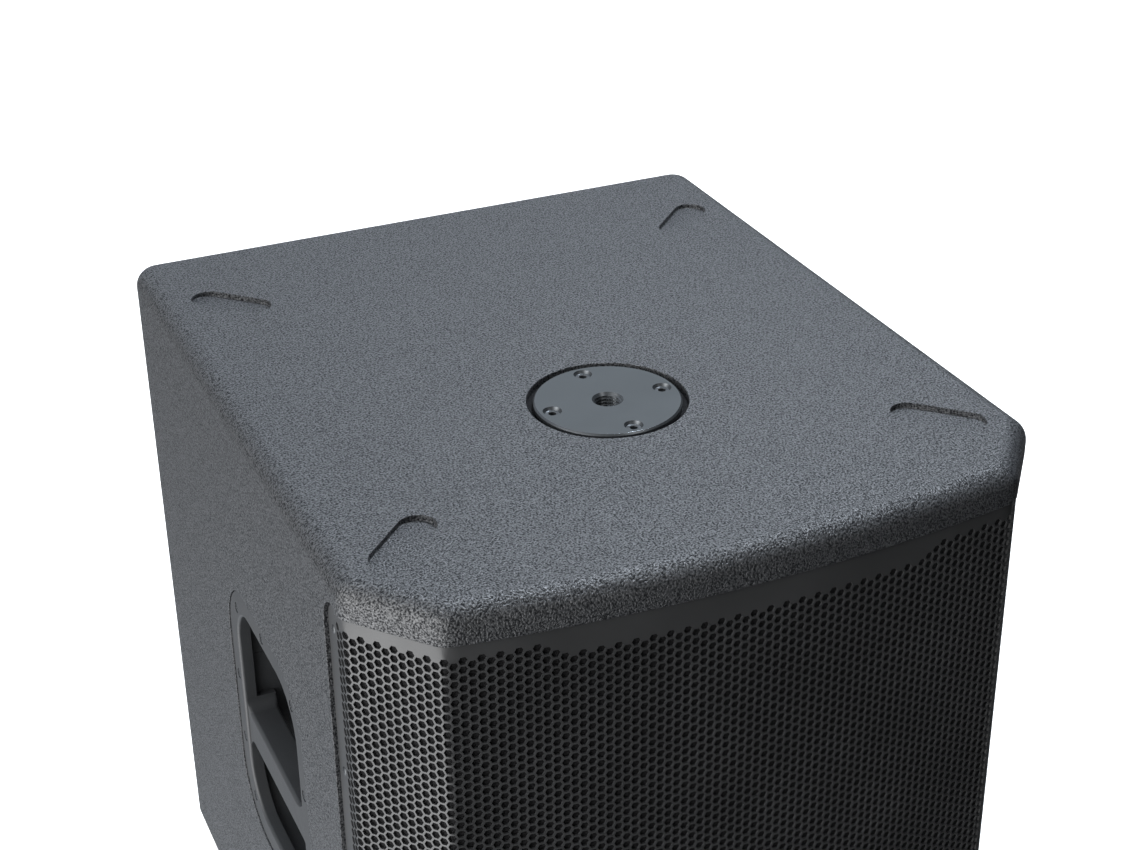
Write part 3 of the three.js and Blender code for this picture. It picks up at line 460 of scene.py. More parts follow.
PAINT = textured_paint()
MOULDING = moulding()
FOAM = foam()
GRILLE_PAINT = mottled(
    "grille_paint", (0.05, 0.051, 0.053), 0.42,
    drift=(60 * MM, 3), tones=((0.036, 0.037, 0.038), (0.046, 0.047, 0.049)), roughs=(0.38, 0.48),
    grain=(0.35 * MM, 2), depth=0.02 * MM,
)
PLATE = mottled(
    "plate_finish", (0.05, 0.056, 0.06), 0.36,
    drift=(30 * MM, 3), tones=((0.047, 0.053, 0.056), (0.053, 0.06, 0.064)), roughs=(0.34, 0.38),
    grain=(0.3 * MM, 2), depth=0.012 * MM, metallic=0.2,
)
CUT_METAL = plain_look("cut_metal", (0.11, 0.118, 0.125), 0.2, grain=0.5, depth=0.006, metallic=0.75)
RUBBER = mottled(
    "rubber", (0.02, 0.02, 0.021), 0.75,
    drift=(12 * MM, 4), tones=((0.015, 0.015, 0.016), (0.032, 0.032, 0.033)), roughs=(0.65, 0.85),
    grain=(0.5 * MM, 2), depth=0.05 * MM,
)
ZINC = mottled(
    "zinc_steel", (0.32, 0.33, 0.34), 0.38,
    drift=(5 * MM, 4), tones=((0.26, 0.27, 0.28), (0.4, 0.41, 0.42)), roughs=(0.3, 0.5),
    grain=(0.3 * MM, 2), depth=0.01 * MM, metallic=0.9,
)
DARK_STEEL = mottled(
    "dark_steel", (0.09, 0.095, 0.1), 0.35,
    drift=(4 * MM, 3), tones=((0.07, 0.075, 0.08), (0.12, 0.125, 0.13)), roughs=(0.28, 0.45),
    grain=(0.4 * MM, 2), depth=0.01 * MM, metallic=0.8,
)
AMP_PAINT = plain_look("amp_paint", (0.016, 0.0165, 0.018), 0.5, grain=0.6, depth=0.05)
WHITE_PRINT = plain_look("white_print", (0.6, 0.6, 0.6), 0.6, grain=0.4, depth=0.005)
LAMP = plain_look("lamp", (0.02, 0.35, 0.12), 0.25, grain=1.0, depth=0.01)
KNOB_RUBBER = plain_look("knob_rubber", (0.018, 0.018, 0.019), 0.62, grain=0.5, depth=0.04)
CONE_PAPER = plain_look("cone_paper", (0.012, 0.012, 0.013), 0.8, grain=0.8, depth=0.12, spread=0.4)
SURROUND = plain_look("surround_rubber", (0.01, 0.01, 0.011), 0.6, grain=0.7, depth=0.06)
SPIDER_CLOTH = woven("spider_cloth", (0.42, 0.3, 0.08), (0.3, 0.2, 0.05), 0.9 * MM)

# ------------------------------------------------------------------ camera and studio

CAMERA_PLACE = Vector((-0.5389, -1.2417, 1.2348))
CAMERA_YAW, CAMERA_PITCH, CAMERA_ROLL = (math.radians(a) for a in (-23.582, 28.245, -0.729))
CAMERA_LENS = 65.18


def make_camera():
    ahead = Vector((-math.sin(CAMERA_YAW), math.cos(CAMERA_YAW), 0))
    right = Vector((math.cos(CAMERA_YAW), math.sin(CAMERA_YAW), 0))
    ahead = ahead * math.cos(CAMERA_PITCH) - Vector((0, 0, math.sin(CAMERA_PITCH)))
    up = right.cross(ahead)
    across = right * math.cos(CAMERA_ROLL) + up * math.sin(CAMERA_ROLL)
    up = up * math.cos(CAMERA_ROLL) - right * math.sin(CAMERA_ROLL)
    camera = bpy.data.objects.new("camera", bpy.data.cameras.new("camera"))
    bpy.context.scene.collection.objects.link(camera)
    camera.data.sensor_width = 36
    camera.data.lens = CAMERA_LENS
    turn = Matrix((across, up, -ahead)).transposed().to_4x4()
    camera.matrix_world = Matrix.Translation(CAMERA_PLACE) @ turn
    bpy.context.scene.camera = camera


NEUTRAL = (1, 1, 1)
COOL = (0.85, 0.93, 1.03)
# (direction, focus, strength, tint) of the soft lights all round; a higher focus makes a smaller light
SOFT_LIGHTS = (
    ((0, 1, 0.25), 6, 0.2, COOL),
    ((0, 0.6, 0.8), 6, 1.25, COOL),
    ((0, -0.6, 0.8), 6, 0.2, NEUTRAL),
    ((0.3, -0.48, 0.78), 60, 1.6, NEUTRAL),
    ((-0.9, -0.25, 0.3), 9, 6.0, NEUTRAL),
    ((-0.85, -0.2, -0.45), 9, 6.0, NEUTRAL),
    ((-0.25, 0.35, -0.9), 7, 0.95, COOL),
    ((0.5, 0.85, -0.2), 6, 0.2, NEUTRAL),
)
SOFTBOX_OFFSET = Vector((0.55, 0.35, 1.75))   # from the middle of the cabinet
SOFTBOX_SIZE, SOFTBOX_POWER = 0.35, 34
FLOOR_HALF, BACKDROP_RADIUS = 12, 11
BACKDROP_LOW, BACKDROP_HIGH = -0.1, 9


def make_world():
    """Broad lights that fade with the angle from their directions."""
    world = bpy.data.worlds.new("studio")
    bpy.context.scene.world = world
    world.use_nodes = True
    tree = world.node_tree
    around = tree.nodes.new("ShaderNodeTexCoord").outputs["Generated"]

    def step(kind, operation, inputs, output):
        node = tree.nodes.new(kind)
        node.operation = operation
        for socket, value in inputs.items():
            if isinstance(value, bpy.types.NodeSocket):
                tree.links.new(value, node.inputs[socket])
            else:
                node.inputs[socket].default_value = value
        return node.outputs[output]

    total = (0, 0, 0)
    for direction, focus, strength, tint in SOFT_LIGHTS:
        toward = Vector(direction).normalized()
        likeness = step("ShaderNodeVectorMath", "DOT_PRODUCT", {0: around, 1: toward}, "Value")
        falloff = step("ShaderNodeMath", "MULTIPLY_ADD", {0: likeness, 1: focus, 2: -focus}, "Value")
        glow = step("ShaderNodeMath", "EXPONENT", {0: falloff}, "Value")
        colour = Vector(tint) * strength
        light = step("ShaderNodeVectorMath", "SCALE", {0: colour, "Scale": glow}, "Vector")
        total = step("ShaderNodeVectorMath", "ADD", {0: total, 1: light}, "Vector")
    tree.links.new(total, tree.nodes["Background"].inputs["Color"])


def make_softbox():
    light = bpy.data.lights.new("overhead", "AREA")
    light.size = SOFTBOX_SIZE
    light.energy = SOFTBOX_POWER
    light.color = COOL
    obj = bpy.data.objects.new("overhead", light)
    obj.location = Vector((0, 0, MIDDLE_Z)) + SOFTBOX_OFFSET
    obj.rotation_mode = "QUATERNION"
    obj.rotation_quaternion = (-SOFTBOX_OFFSET).to_track_quat("-Z", "Y")
    bpy.context.scene.collection.objects.link(obj)


def stage_piece(mesh, name, glow):
    """A white piece of the studio that only the camera sees."""
    obj = object_of(mesh, name)
    n = Nodes(f"studio_{name}", (0.9, 0.9, 0.9), 0.7)
    n.roughness(n.spread(n.noise(0.3), 0.65, 0.75))
    n.shader.inputs["Emission Color"].default_value = (1, 1, 1, 1)
    n.shader.inputs["Emission Strength"].default_value = glow
    obj.data.materials.append(n.material)
    obj.visible_diffuse = False
    obj.visible_glossy = False
    return obj


def make_studio():
    make_world()
    make_softbox()
    bm = bmesh.new()
    bmesh.ops.create_grid(bm, x_segments=1, y_segments=1, size=FLOOR_HALF)
    stage_piece(mesh_of(bm, "floor"), "floor", 0.75)
    outline = circle(BACKDROP_RADIUS, 96)
    wall = [[Vector((x, y, z)) for x, y in outline] for z in (BACKDROP_LOW, BACKDROP_HIGH)]
    backdrop = stage_piece(loft(wall, "backdrop"), "backdrop", 1.0)
    backdrop.visible_shadow = False


make_camera()
make_studio()
bpy.context.scene.view_settings.view_transform = "Standard"

# ------------------------------------------------------------------ cabinet

SLOT_LENGTH, SLOT_WIDTH, SLOT_DEPTH = 67 * MM, 26 * MM, 4 * MM
SLOT_EDGE = 0.3 * MM
LIP_EDGE = 1.2 * MM
FEET = [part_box(f"foot_{i}") for i in (1, 2, 3, 4)]
RECESS_RADIUS = 57.3 * MM
BOSS_HOLE_RADIUS = 18.4 * MM
PLATE_CENTRE = sum(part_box("pole_plate"), Vector()) / 2
PLATE_FLOOR = 6.3 * MM
HANDLE_CENTRE = sum(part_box("handle_left"), Vector()) / 2
HANDLE_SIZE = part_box("handle_left")[1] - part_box("handle_left")[0]
HANDLE_RADIUS = 52 * MM
HANDLE_SINK = 1 * MM
SEAT_GAP = 0.5 * MM               # round a flange that is let into the cabinet
HANDLE_SEAT_DEPTH = 4.3 * MM
HANDLE_LEDGE = 4 * MM             # of the seat, round the hole for the cup
GRILLE_SINK = 2.5 * MM
GRILLE_SHEET = 1.5 * MM
FLANGE_CORNER = 20 * MM
FLANGE_LOW_Z, FLANGE_HIGH_Z = LIP_TOP_Z - 1.5 * MM, LIP_BOTTOM_Z + 1.5 * MM
FIELD_GAP = 1.8 * MM
TRAY_CENTRE = sum(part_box("amplifier_tray"), Vector()) / 2
TRAY_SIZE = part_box("amplifier_tray")[1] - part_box("amplifier_tray")[0]
TRAY_CORNER = 12 * MM
TRAY_SEAT_DEPTH = 4 * MM
TRAY_LEDGE, TRAY_HOLE_CORNER = 19 * MM, 10 * MM


def slot_places():
    """The middle and the angle of each slanted slot, which stands over a foot."""
    middle_y = sum(low.y + high.y for low, high in FEET) / 8
    for low, high in FEET:
        middle = (low + high) / 2
        slant = 1 if middle.x * (middle.y - middle_y) > 0 else -1
        yield middle, slant * TURN / 8


def body_mesh():
    """The cabinet as a solid block with rounded edges."""
    steps = 10
    loops = []
    for end, sign in ((BOTTOM_Z, 1), (TOP_Z, -1)):
        turns = [TURN / 4 * i / steps for i in range(steps + 1)]
        ring = []
        for t in turns if sign > 0 else reversed(turns):
            inset = EDGE_RADIUS * (1 - math.sin(t))
            z = end + sign * EDGE_RADIUS * (1 - math.cos(t))
            ring.append([Vector((x, y, z)) for x, y in cabinet_outline(inset)])
        loops += ring
    return loft(loops, "cabinet")


def flange_field(sign):
    """The sunk field for the grille's flange in a side panel, rounded behind and open in front."""
    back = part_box("grille")[1].y + FIELD_GAP
    low, high = FLANGE_LOW_Z - FIELD_GAP, FLANGE_HIGH_Z + FIELD_GAP
    front = OPENING_Y - 0.2 * MM
    radius = FLANGE_CORNER + FIELD_GAP

    def outline(growth):
        corner = radius + growth
        points = [(front, low - growth)]
        points += arc(back - radius, low + radius, corner, -TURN / 4, 0, 10)
        points += arc(back - radius, high - radius, corner, 0, TURN / 4, 10)
        return points + [(front, high + growth)]

    depth = GRILLE_SINK + GRILLE_SHEET + 0.3 * MM
    return pocket(outline, into_side(sign, 0, 0), mouth_profile(depth, 0.3 * MM, 0.2 * MM))


def lip_rounding(edge_z, up):
    """Rounds the lip's edge at the opening for the grille; up is 1 at the top lip, -1 at the bottom."""
    profile = [(-3 * MM, -1 * MM), (LIP_EDGE, -1 * MM)]
    profile += [(LIP_EDGE - a, LIP_EDGE - b) for a, b in arc(0, 0, LIP_EDGE, TURN / 4, 0, 5)]
    profile += [(-3 * MM, LIP_EDGE)]
    ahead = [i for i, point in enumerate(cabinet_outline()) if point[1] < OPENING_Y]
    half = len(ahead) // 2 + 1
    from_left = ahead[half:] + ahead[:half]
    sections = []
    for i in from_left:
        section = []
        for inset, rise in profile:
            x, y = cabinet_outline(inset)[i]
            section.append(Vector((x, y, edge_z + up * rise)))
        sections.append(section)
    return loft(sections)


def opened_and_hollowed():
    low = LOW.x + WALL, BAFFLE_Y - 1 * MM, BOTTOM_Z + WALL
    high = HALF_WIDTH - WALL, BACK_Y - WALL, TOP_Z - WALL
    yield box_mesh(low, high)
    yield box_mesh((-1, -1, LIP_TOP_Z), (1, OPENING_Y, LIP_BOTTOM_Z))
    yield lip_rounding(LIP_BOTTOM_Z, 1)
    yield lip_rounding(LIP_TOP_Z, -1)


def top_pockets():
    """The four slots, the plate's recess and the hole for the plate's boss."""
    mouth = mouth_profile(SLOT_DEPTH, SLOT_EDGE, 1 * MM)
    for middle, angle in slot_places():
        def slot(growth, angle=angle):
            return stadium(SLOT_LENGTH + 2 * growth, SLOT_WIDTH + 2 * growth, angle)

        yield pocket(slot, into_top(middle.x, middle.y), mouth)
    plate = into_top(PLATE_CENTRE.x, PLATE_CENTRE.y)
    recess = mouth_profile(PLATE_FLOOR, 0.8 * MM, 0.5 * MM)
    yield pocket(lambda g: circle(RECESS_RADIUS + g, 96), plate, recess)
    through = [(5 * MM, 0), (WALL + 5 * MM, 0)]
    yield pocket(lambda g: circle(BOSS_HOLE_RADIUS + g), plate, through)


def seat_and_hole(width, height, corner, seat_depth, edge, ledge, hole_corner, place):
    """A sunk seat for a flange, and the hole through the panel that it surrounds."""
    def seat(growth):
        gap = SEAT_GAP + growth
        return rounded_rect(width + 2 * gap, height + 2 * gap, corner + growth)

    yield pocket(seat, place, mouth_profile(seat_depth, edge, 0.2 * MM))
    hole = rounded_rect(width - 2 * ledge, height - 2 * ledge, hole_corner)
    yield pocket(lambda g: hole, place, [(2 * MM, 0), (WALL + 2 * MM, 0)])


def cabinet_cutters():
    yield from opened_and_hollowed()
    yield from top_pockets()
    width, height = HANDLE_SIZE.y, HANDLE_SIZE.z
    corners = HANDLE_RADIUS + SEAT_GAP, HANDLE_RADIUS - HANDLE_LEDGE
    for sign in (-1, 1):
        yield flange_field(sign)
        side = into_side(sign, HANDLE_CENTRE.y, HANDLE_CENTRE.z)
        yield from seat_and_hole(
            width, height, corners[0], HANDLE_SEAT_DEPTH, 0.5 * MM, HANDLE_LEDGE, corners[1], side
        )
    width, height = TRAY_SIZE.x, TRAY_SIZE.z
    back = into_back(TRAY_CENTRE.x, TRAY_CENTRE.z)
    yield from seat_and_hole(
        width, height, TRAY_CORNER, TRAY_SEAT_DEPTH, 0.6 * MM, TRAY_LEDGE, TRAY_HOLE_CORNER, back
    )


def make_cabinet():
    cabinet = object_of(body_mesh(), "cabinet_shell")
    combine(cabinet, list(cabinet_cutters()))
    smooth(cabinet)
    panels = [f"{side}_panel" for side in ("top", "bottom", "left_side", "right_side", "back")]
    finish_piece(cabinet, PAINT, replaces=panels)


make_cabinet()

# ------------------------------------------------------------------ grille

HOLE_PITCH = 6.7 * MM
HOLE_WIDTH = 5.35 * MM            # across the flats of each hexagon
COLUMN_PITCH = HOLE_PITCH * math.cos(TURN / 12)
GRILLE_BEND = 10 * MM
FLANGE_SOLID = 19 * MM
EDGE_BAND = 10.5 * MM             # from the sheet's edge to the nearest hole's middle
MIDDLE_BAND = 21.5 * MM
BAND_STEP = (120 * MM, 142 * MM)  # how far from the middle the band narrows
LIP_GAP = 0.4 * MM                # between the sheet's edge and the lips
FOAM_GAP, FOAM_THICKNESS = 0.4 * MM, 5 * MM


def grille_path(distance, inset):
    """(x, y) and outward normal at a distance along the sheet from the middle of the front."""
    side = 1 if distance >= 0 else -1
    left = abs(distance)
    corner, crease, end = front_bends(GRILLE_SINK, GRILLE_BEND)
    radius = FRONT_RADIUS - GRILLE_SINK
    sink = inset - GRILLE_SINK
    straight = (crease[0] - corner[0]) * CHAMFER_LENGTH / CHAMFER_X
    runs = (
        (radius * (end + TURN / 4), (0, FRONT_CENTRE_Y), radius, -TURN / 4),
        (GRILLE_BEND * (CHAMFER_TURN - end), corner, GRILLE_BEND, end),
        (straight, corner, None, CHAMFER_TURN),
        (-GRILLE_BEND * CHAMFER_TURN, crease, GRILLE_BEND, CHAMFER_TURN),
        (1.0, crease, None, 0),
    )
    for length, centre, bend, start in runs:
        if left <= length:
            break
        left -= length
    angle = start + left / bend if bend else start
    normal = Vector((math.cos(angle), math.sin(angle), 0))
    reach = (bend or GRILLE_BEND) - sink
    along = Vector((-normal.y, normal.x, 0)) * (0 if bend else left)
    point = Vector((*centre, 0)) + normal * reach + along
    return Vector((side * point.x, point.y, 0)), Vector((side * normal.x, normal.y, 0))


def path_length_to(y):
    """Distance along the sheet from the middle of the front back to y on the flange."""
    low, high = 0.0, 1.0
    for _ in range(40):
        middle = (low + high) / 2
        if grille_path(middle, GRILLE_SINK)[0].y < y:
            low = middle
        else:
            high = middle
    return low


def hole_centres(sheet_low, sheet_high, reach):
    """Middles of the holes in (distance, z): staggered columns, with a wider band at the front's middle."""
    columns = int(reach / COLUMN_PITCH)
    middle = (sheet_low + sheet_high) / 2
    for i in range(-columns, columns + 1):
        u = i * COLUMN_PITCH
        across = abs(grille_path(u, GRILLE_SINK)[0].x)
        step = (across - BAND_STEP[0]) / (BAND_STEP[1] - BAND_STEP[0])
        band = MIDDLE_BAND + (EDGE_BAND - MIDDLE_BAND) * min(max(step, 0), 1)
        half = (sheet_high - sheet_low) / 2 - band
        offset = (i + 1) % 2 * HOLE_PITCH / 2
        rows = int(half / HOLE_PITCH) + 2
        for j in range(-rows, rows + 1):
            z = middle + j * HOLE_PITCH + offset
            if abs(z - middle) <= half:
                yield u, z


def grille_border(sheet_low, sheet_high):
    """The sheet's edge in (distance, z), with a point for every column so that it follows the bends."""
    low, high = FLANGE_LOW_Z, FLANGE_HIGH_Z
    reach = path_length_to(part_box("grille")[1].y)
    ear = path_length_to(OPENING_Y + 0.5 * MM)
    count = int(2 * ear / COLUMN_PITCH)
    along = [-ear + 2 * ear * i / count for i in range(count + 1)]
    corner = reach - FLANGE_CORNER
    right = [(ear, low), (ear + 3 * MM, low)]
    right += arc(corner, low + FLANGE_CORNER, FLANGE_CORNER, -TURN / 4, 0, 10)
    right += arc(corner, high - FLANGE_CORNER, FLANGE_CORNER, 0, TURN / 4, 10)
    right += [(ear + 3 * MM, high), (ear, high)]
    bottom = [(u, sheet_low) for u in along]
    top = [(u, sheet_high) for u in reversed(along)]
    left = [(-u, z) for u, z in reversed(right)]
    return bottom + right + top + left


def flat_layout(sheet_low, sheet_high):
    """The sheet laid flat: its points, the loops of its border and holes, and which hole a point is on."""
    border = grille_border(sheet_low, sheet_high)
    reach = path_length_to(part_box("grille")[1].y - FLANGE_SOLID)
    points = [Vector(p) for p in border]
    loops = [list(range(len(border)))]
    owner = [-1] * len(border)
    corner_radius = HOLE_WIDTH / 2 / math.cos(TURN / 12)
    for hole, (u, z) in enumerate(hole_centres(sheet_low, sheet_high, reach)):
        first = len(points)
        points += [Vector((u + a, z + b)) for a, b in circle(corner_radius, 6)]
        loops.append(list(range(first, first + 6)))
        owner += [hole] * 6
    return points, loops, owner


def perforated_sheet():
    """The sheet filled with faces while flat, leaving out the holes, and then bent along its path."""
    points, loops, owner = flat_layout(LIP_TOP_Z + LIP_GAP, LIP_BOTTOM_Z - LIP_GAP)
    edges = [(loop[i - 1], loop[i]) for loop in loops for i in range(len(loop))]
    flat, _, faces, origins, _, _ = delaunay_2d_cdt(points, edges, [], 1, 1e-7)
    source = [o[0] for o in origins]
    kept = [f for f in faces if owner[source[f[0]]] < 0 or len({owner[source[v]] for v in f}) > 1]
    index = {s: i for i, s in enumerate(source)}
    skins = []
    for inset in (GRILLE_SINK, GRILLE_SINK + GRILLE_SHEET):
        for u, z in flat:
            place = grille_path(u, inset)[0]
            skins.append((place.x, place.y, z))
    count = len(flat)
    solid = [tuple(f) for f in kept] + [tuple(v + count for v in reversed(f)) for f in kept]
    for a, b in edges:
        a, b = index[a], index[b]
        solid.append((a, b, b + count, a + count))
    mesh = bpy.data.meshes.new("grille_mesh")
    mesh.from_pydata(skins, [], solid)
    bm = bmesh.new()
    bm.from_mesh(mesh)
    bpy.data.meshes.remove(mesh)
    return mesh_of(bm, "grille_mesh")


def make_grille():
    sheet = object_of(perforated_sheet(), "grille_sheet")
    sheet.data.shade_smooth()
    sheet.data.set_sharp_from_angle(angle=math.radians(30))
    finish_piece(sheet, GRILLE_PAINT, replaces=["grille"])


make_grille()


def make_foam():
    """The dark foam behind the grille."""
    near = GRILLE_SINK + GRILLE_SHEET + FOAM_GAP
    low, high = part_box("grille_foam")[0].z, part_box("grille_foam")[1].z
    reach = path_length_to(OPENING_Y - 2 * MM)
    steps = 120
    loops = []
    for i in range(steps + 1):
        u = reach * (2 * i / steps - 1)
        outer, inner = grille_path(u, near)[0], grille_path(u, near + FOAM_THICKNESS)[0]
        corners = [(outer, low), (outer, high), (inner, high), (inner, low)]
        loops.append([Vector((p.x, p.y, z)) for p, z in corners])
    sheet = object_of(loft(loops, "foam"), "grille_foam_sheet")
    smooth(sheet)
    finish_piece(sheet, FOAM, replaces=["grille_foam"])


make_foam()

# ------------------------------------------------------------------ screws


SCREW_STEPS = 48


def hexagon(apothem):
    points = []
    for i in range(SCREW_STEPS):
        angle = TURN * i / SCREW_STEPS
        radius = apothem / math.cos(angle % (TURN / 6) - TURN / 12)
        points.append((radius * math.cos(angle), radius * math.sin(angle)))
    return points


def cross(size, width):
    """A cross-shaped recess."""
    points = []
    for i in range(SCREW_STEPS):
        angle = TURN * i / SCREW_STEPS
        along = abs(math.cos(2 * angle)) ** 6
        radius = width + (size - width) * along
        points.append((radius * math.cos(angle), radius * math.sin(angle)))
    return points


def screw_mesh(place, sections):
    """A skin through (outline, depth) sections, from under the head up and down into its recess."""
    return loft([[place(a, b, depth) for a, b in outline] for outline, depth in sections], "screw")


def socket_screw(place, radius, key, depth):
    """A flat head with a hexagon socket, its face at that depth."""
    return screw_mesh(place, [
        (circle(radius * 0.5, SCREW_STEPS), depth + 4 * MM),
        (circle(radius, SCREW_STEPS), depth + 0.4 * MM),
        (circle(radius - 0.15 * MM, SCREW_STEPS), depth + 0.1 * MM),
        (circle(radius - 0.4 * MM, SCREW_STEPS), depth),
        (hexagon(key / 2 + 0.3 * MM), depth),
        (hexagon(key / 2), depth + 0.3 * MM),
        (hexagon(key / 2 - 0.05 * MM), depth + 2.6 * MM),
        (circle(0.3 * MM, SCREW_STEPS), depth + 3.4 * MM),
    ])


def cross_screw(place, radius, depth, dome=0.7 * MM):
    """A low domed head with a cross recess, its rim at that depth."""
    size = radius * 0.62
    top = depth - dome
    sections = [
        (circle(radius * 0.5, SCREW_STEPS), depth + 1.5 * MM),
        (circle(radius * 0.96, SCREW_STEPS), depth + 0.3 * MM),
    ]
    for i in range(5):
        t = TURN / 4 * i / 6
        sections.append((circle(radius * math.cos(t), SCREW_STEPS), depth - dome * math.sin(t)))
    sections += [
        (cross(size, size * 0.36), top + 0.08 * MM),
        (cross(size * 0.9, size * 0.3), top + 0.25 * MM),
        (cross(size * 0.5, size * 0.2), top + radius * 0.5),
        (circle(radius * 0.04, SCREW_STEPS), top + radius * 0.55),
    ]
    return screw_mesh(place, sections)


def joined_meshes(meshes, name):
    """One mesh holding all of these."""
    bm = bmesh.new()
    for mesh in meshes:
        bm.from_mesh(mesh)
        bpy.data.meshes.remove(mesh)
    return mesh_of(bm, name)


def screw_set(meshes, name, material, replaces=()):
    screws = object_of(joined_meshes(meshes, name), name)
    smooth(screws, 40)
    finish_piece(screws, material, replaces=replaces)


def shifted(place, a0, b0):
    """The same face, with its middle moved by (a0, b0)."""
    return lambda a, b, depth: place(a0 + a, b0 + b, depth)


# ------------------------------------------------------------------ pole plate

PLATE_RADIUS = (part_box("pole_plate")[1].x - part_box("pole_plate")[0].x) / 2
PLATE_THICKNESS = 6 * MM
PLATE_EDGE = 1.2 * MM             # the bevel round its face
FACE_TILT = 0.97                  # a face of the plate with less of z in its normal is cut metal
BOSS_RADIUS = 18 * MM
BOSS_DEPTH = TOP_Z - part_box("pole_plate")[0].z
THREAD_PITCH = 2.5 * MM
THREAD_MINOR, THREAD_MAJOR = 8.75 * MM, 10.1 * MM
THREAD_MOUTH = 11.2 * MM
SCREW_CIRCLE = 42.5 * MM
SCREW_SINK = 2.0 * MM
SINK_MOUTH, SINK_FLOOR = 6.6 * MM, 5.5 * MM
SINK_STEP = 2.4 * MM              # from the head's seat in to the shank's hole, and down to it
# the top of the black ring of painted shade in the gap round the pole plate
PAINTED_SHADE_TOP = 5.4 * MM             # below the cabinet's top


def bore_radius(angle, depth):
    """The threaded bore's wall, which opens into a chamfered mouth."""
    phase = (depth / THREAD_PITCH + angle / TURN) % 1
    groove = min(2.3 * min(phase, 1 - phase), 1)
    return max(THREAD_MINOR + (THREAD_MAJOR - THREAD_MINOR) * groove, THREAD_MOUTH - depth)


def plate_mesh(place):
    """The round plate with its boss and its threaded bore, turned as one ring."""
    steps, slices = 96, 12
    outside = [
        (PLATE_RADIUS - PLATE_EDGE - 0.15 * MM, 0),
        (PLATE_RADIUS - PLATE_EDGE, 0.05 * MM),
        (PLATE_RADIUS - 0.05 * MM, PLATE_EDGE),
        (PLATE_RADIUS, PLATE_EDGE + 0.15 * MM),
        (PLATE_RADIUS, PLATE_THICKNESS),
        (BOSS_RADIUS, PLATE_THICKNESS),
        (BOSS_RADIUS, BOSS_DEPTH),
    ]
    loops = rings(outside, place, steps)
    count = int(BOSS_DEPTH / THREAD_PITCH * slices)
    for i in range(count, -1, -1):
        depth = BOSS_DEPTH * i / count
        loop = []
        for j in range(steps):
            angle = TURN * j / steps
            radius = bore_radius(angle, depth)
            loop.append(place(radius * math.cos(angle), radius * math.sin(angle), depth))
        loops.append(loop)
    loops.append([place(a, b, 0) for a, b in circle(THREAD_MOUTH + 0.4 * MM, steps)])
    return loft(loops, "plate", ring=True)


def screw_sink(place):
    """The cutter for a countersunk screw's seat and for the hole under it."""
    profile = [
        (SINK_MOUTH + 0.5 * MM, -1 * MM),
        (SINK_MOUTH + 0.2 * MM, 0),
        (SINK_MOUTH, 0.2 * MM),
        (SINK_FLOOR, SCREW_SINK),
        (SINK_FLOOR - SINK_STEP, SCREW_SINK + SINK_STEP),
        (SINK_FLOOR - SINK_STEP, PLATE_THICKNESS + 1 * MM),
    ]
    return loft(rings(profile, place, SCREW_STEPS))


def make_pole_plate():
    middle = into_top(PLATE_CENTRE.x, PLATE_CENTRE.y)
    plate = object_of(plate_mesh(middle), "pole_plate_turned")
    places = [shifted(middle, a, b) for a, b in circle(SCREW_CIRCLE, 4)]
    combine(plate, [screw_sink(place) for place in places])
    smooth(plate, 30)
    finish_piece(plate, PLATE, replaces=["pole_plate"])
    plate.data.materials.append(CUT_METAL)
    for polygon in plate.data.polygons:
        polygon.material_index = int(abs(polygon.normal.z) < FACE_TILT)
    screws = [socket_screw(place, SINK_FLOOR - 0.15 * MM, 5 * MM, SCREW_SINK) for place in places]
    nodes = [f"pole_plate_screw_{i}" for i in (1, 2, 3, 4)]
    screw_set(screws, "pole_plate_screws", DARK_STEEL, nodes)


make_pole_plate()


def make_plate_painted_shade_ring():
    """A black ring of painted shade that fills the floor of the gap round the pole plate, dark in place of
    the gap's shadow.
    """
    inner, outer = PLATE_RADIUS + 0.2 * MM, RECESS_RADIUS - 0.2 * MM
    base = PLATE_FLOOR - 0.1 * MM
    crown = 0.3 * MM
    profile = [
        (inner, base),
        (inner, PAINTED_SHADE_TOP + crown),
        (inner + crown, PAINTED_SHADE_TOP),
        (outer - crown, PAINTED_SHADE_TOP),
        (outer, PAINTED_SHADE_TOP + crown),
        (outer, base),
    ]
    middle = into_top(PLATE_CENTRE.x, PLATE_CENTRE.y)
    # a black ring set in the gap as painted shade, standing in for the gap's shadow
    painted_shade_ring = object_of(turned(profile, middle, 96), "pole_plate_painted_shade_ring")
    smooth(painted_shade_ring, 30)
    finish_piece(painted_shade_ring, FOAM)


make_plate_painted_shade_ring()

# ------------------------------------------------------------------ handles

MOUTH = (147 * MM, 188 * MM, 38 * MM)
UNDERCUT = 6 * MM
COLLAR = 11 * MM
CUP_WALL = 3 * MM
CUP_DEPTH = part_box("handle_left")[1].x + HALF_WIDTH
FLANGE_BACK = 4 * MM
BAR_MIDDLE, BAR_HALF = -22 * MM, 14 * MM
BAR_FRONT, BAR_BACK = 3 * MM, 26 * MM
BAR_ROUND = 3 * MM
BAR_CORNERS = {(1, 1): 9 * MM, (-1, 1): 24 * MM, (-1, -1): 9 * MM, (1, -1): 9 * MM}
SEAM_REACH = MOUTH[0] / 2 + UNDERCUT + 0.4 * MM
SEAM_SECTION = [(-SEAM_REACH, 37 * MM), (SEAM_REACH, 37.6 * MM)]
HANDLE_SCREWS = [(0, 103), (69, 89), (83, 20), (83, -40), (69, -89), (0, -103)]   # mm from its middle


def rect(size, growth=0.0):
    width, height, radius = size
    return rounded_rect(width + 2 * growth, height + 2 * growth, radius + growth)


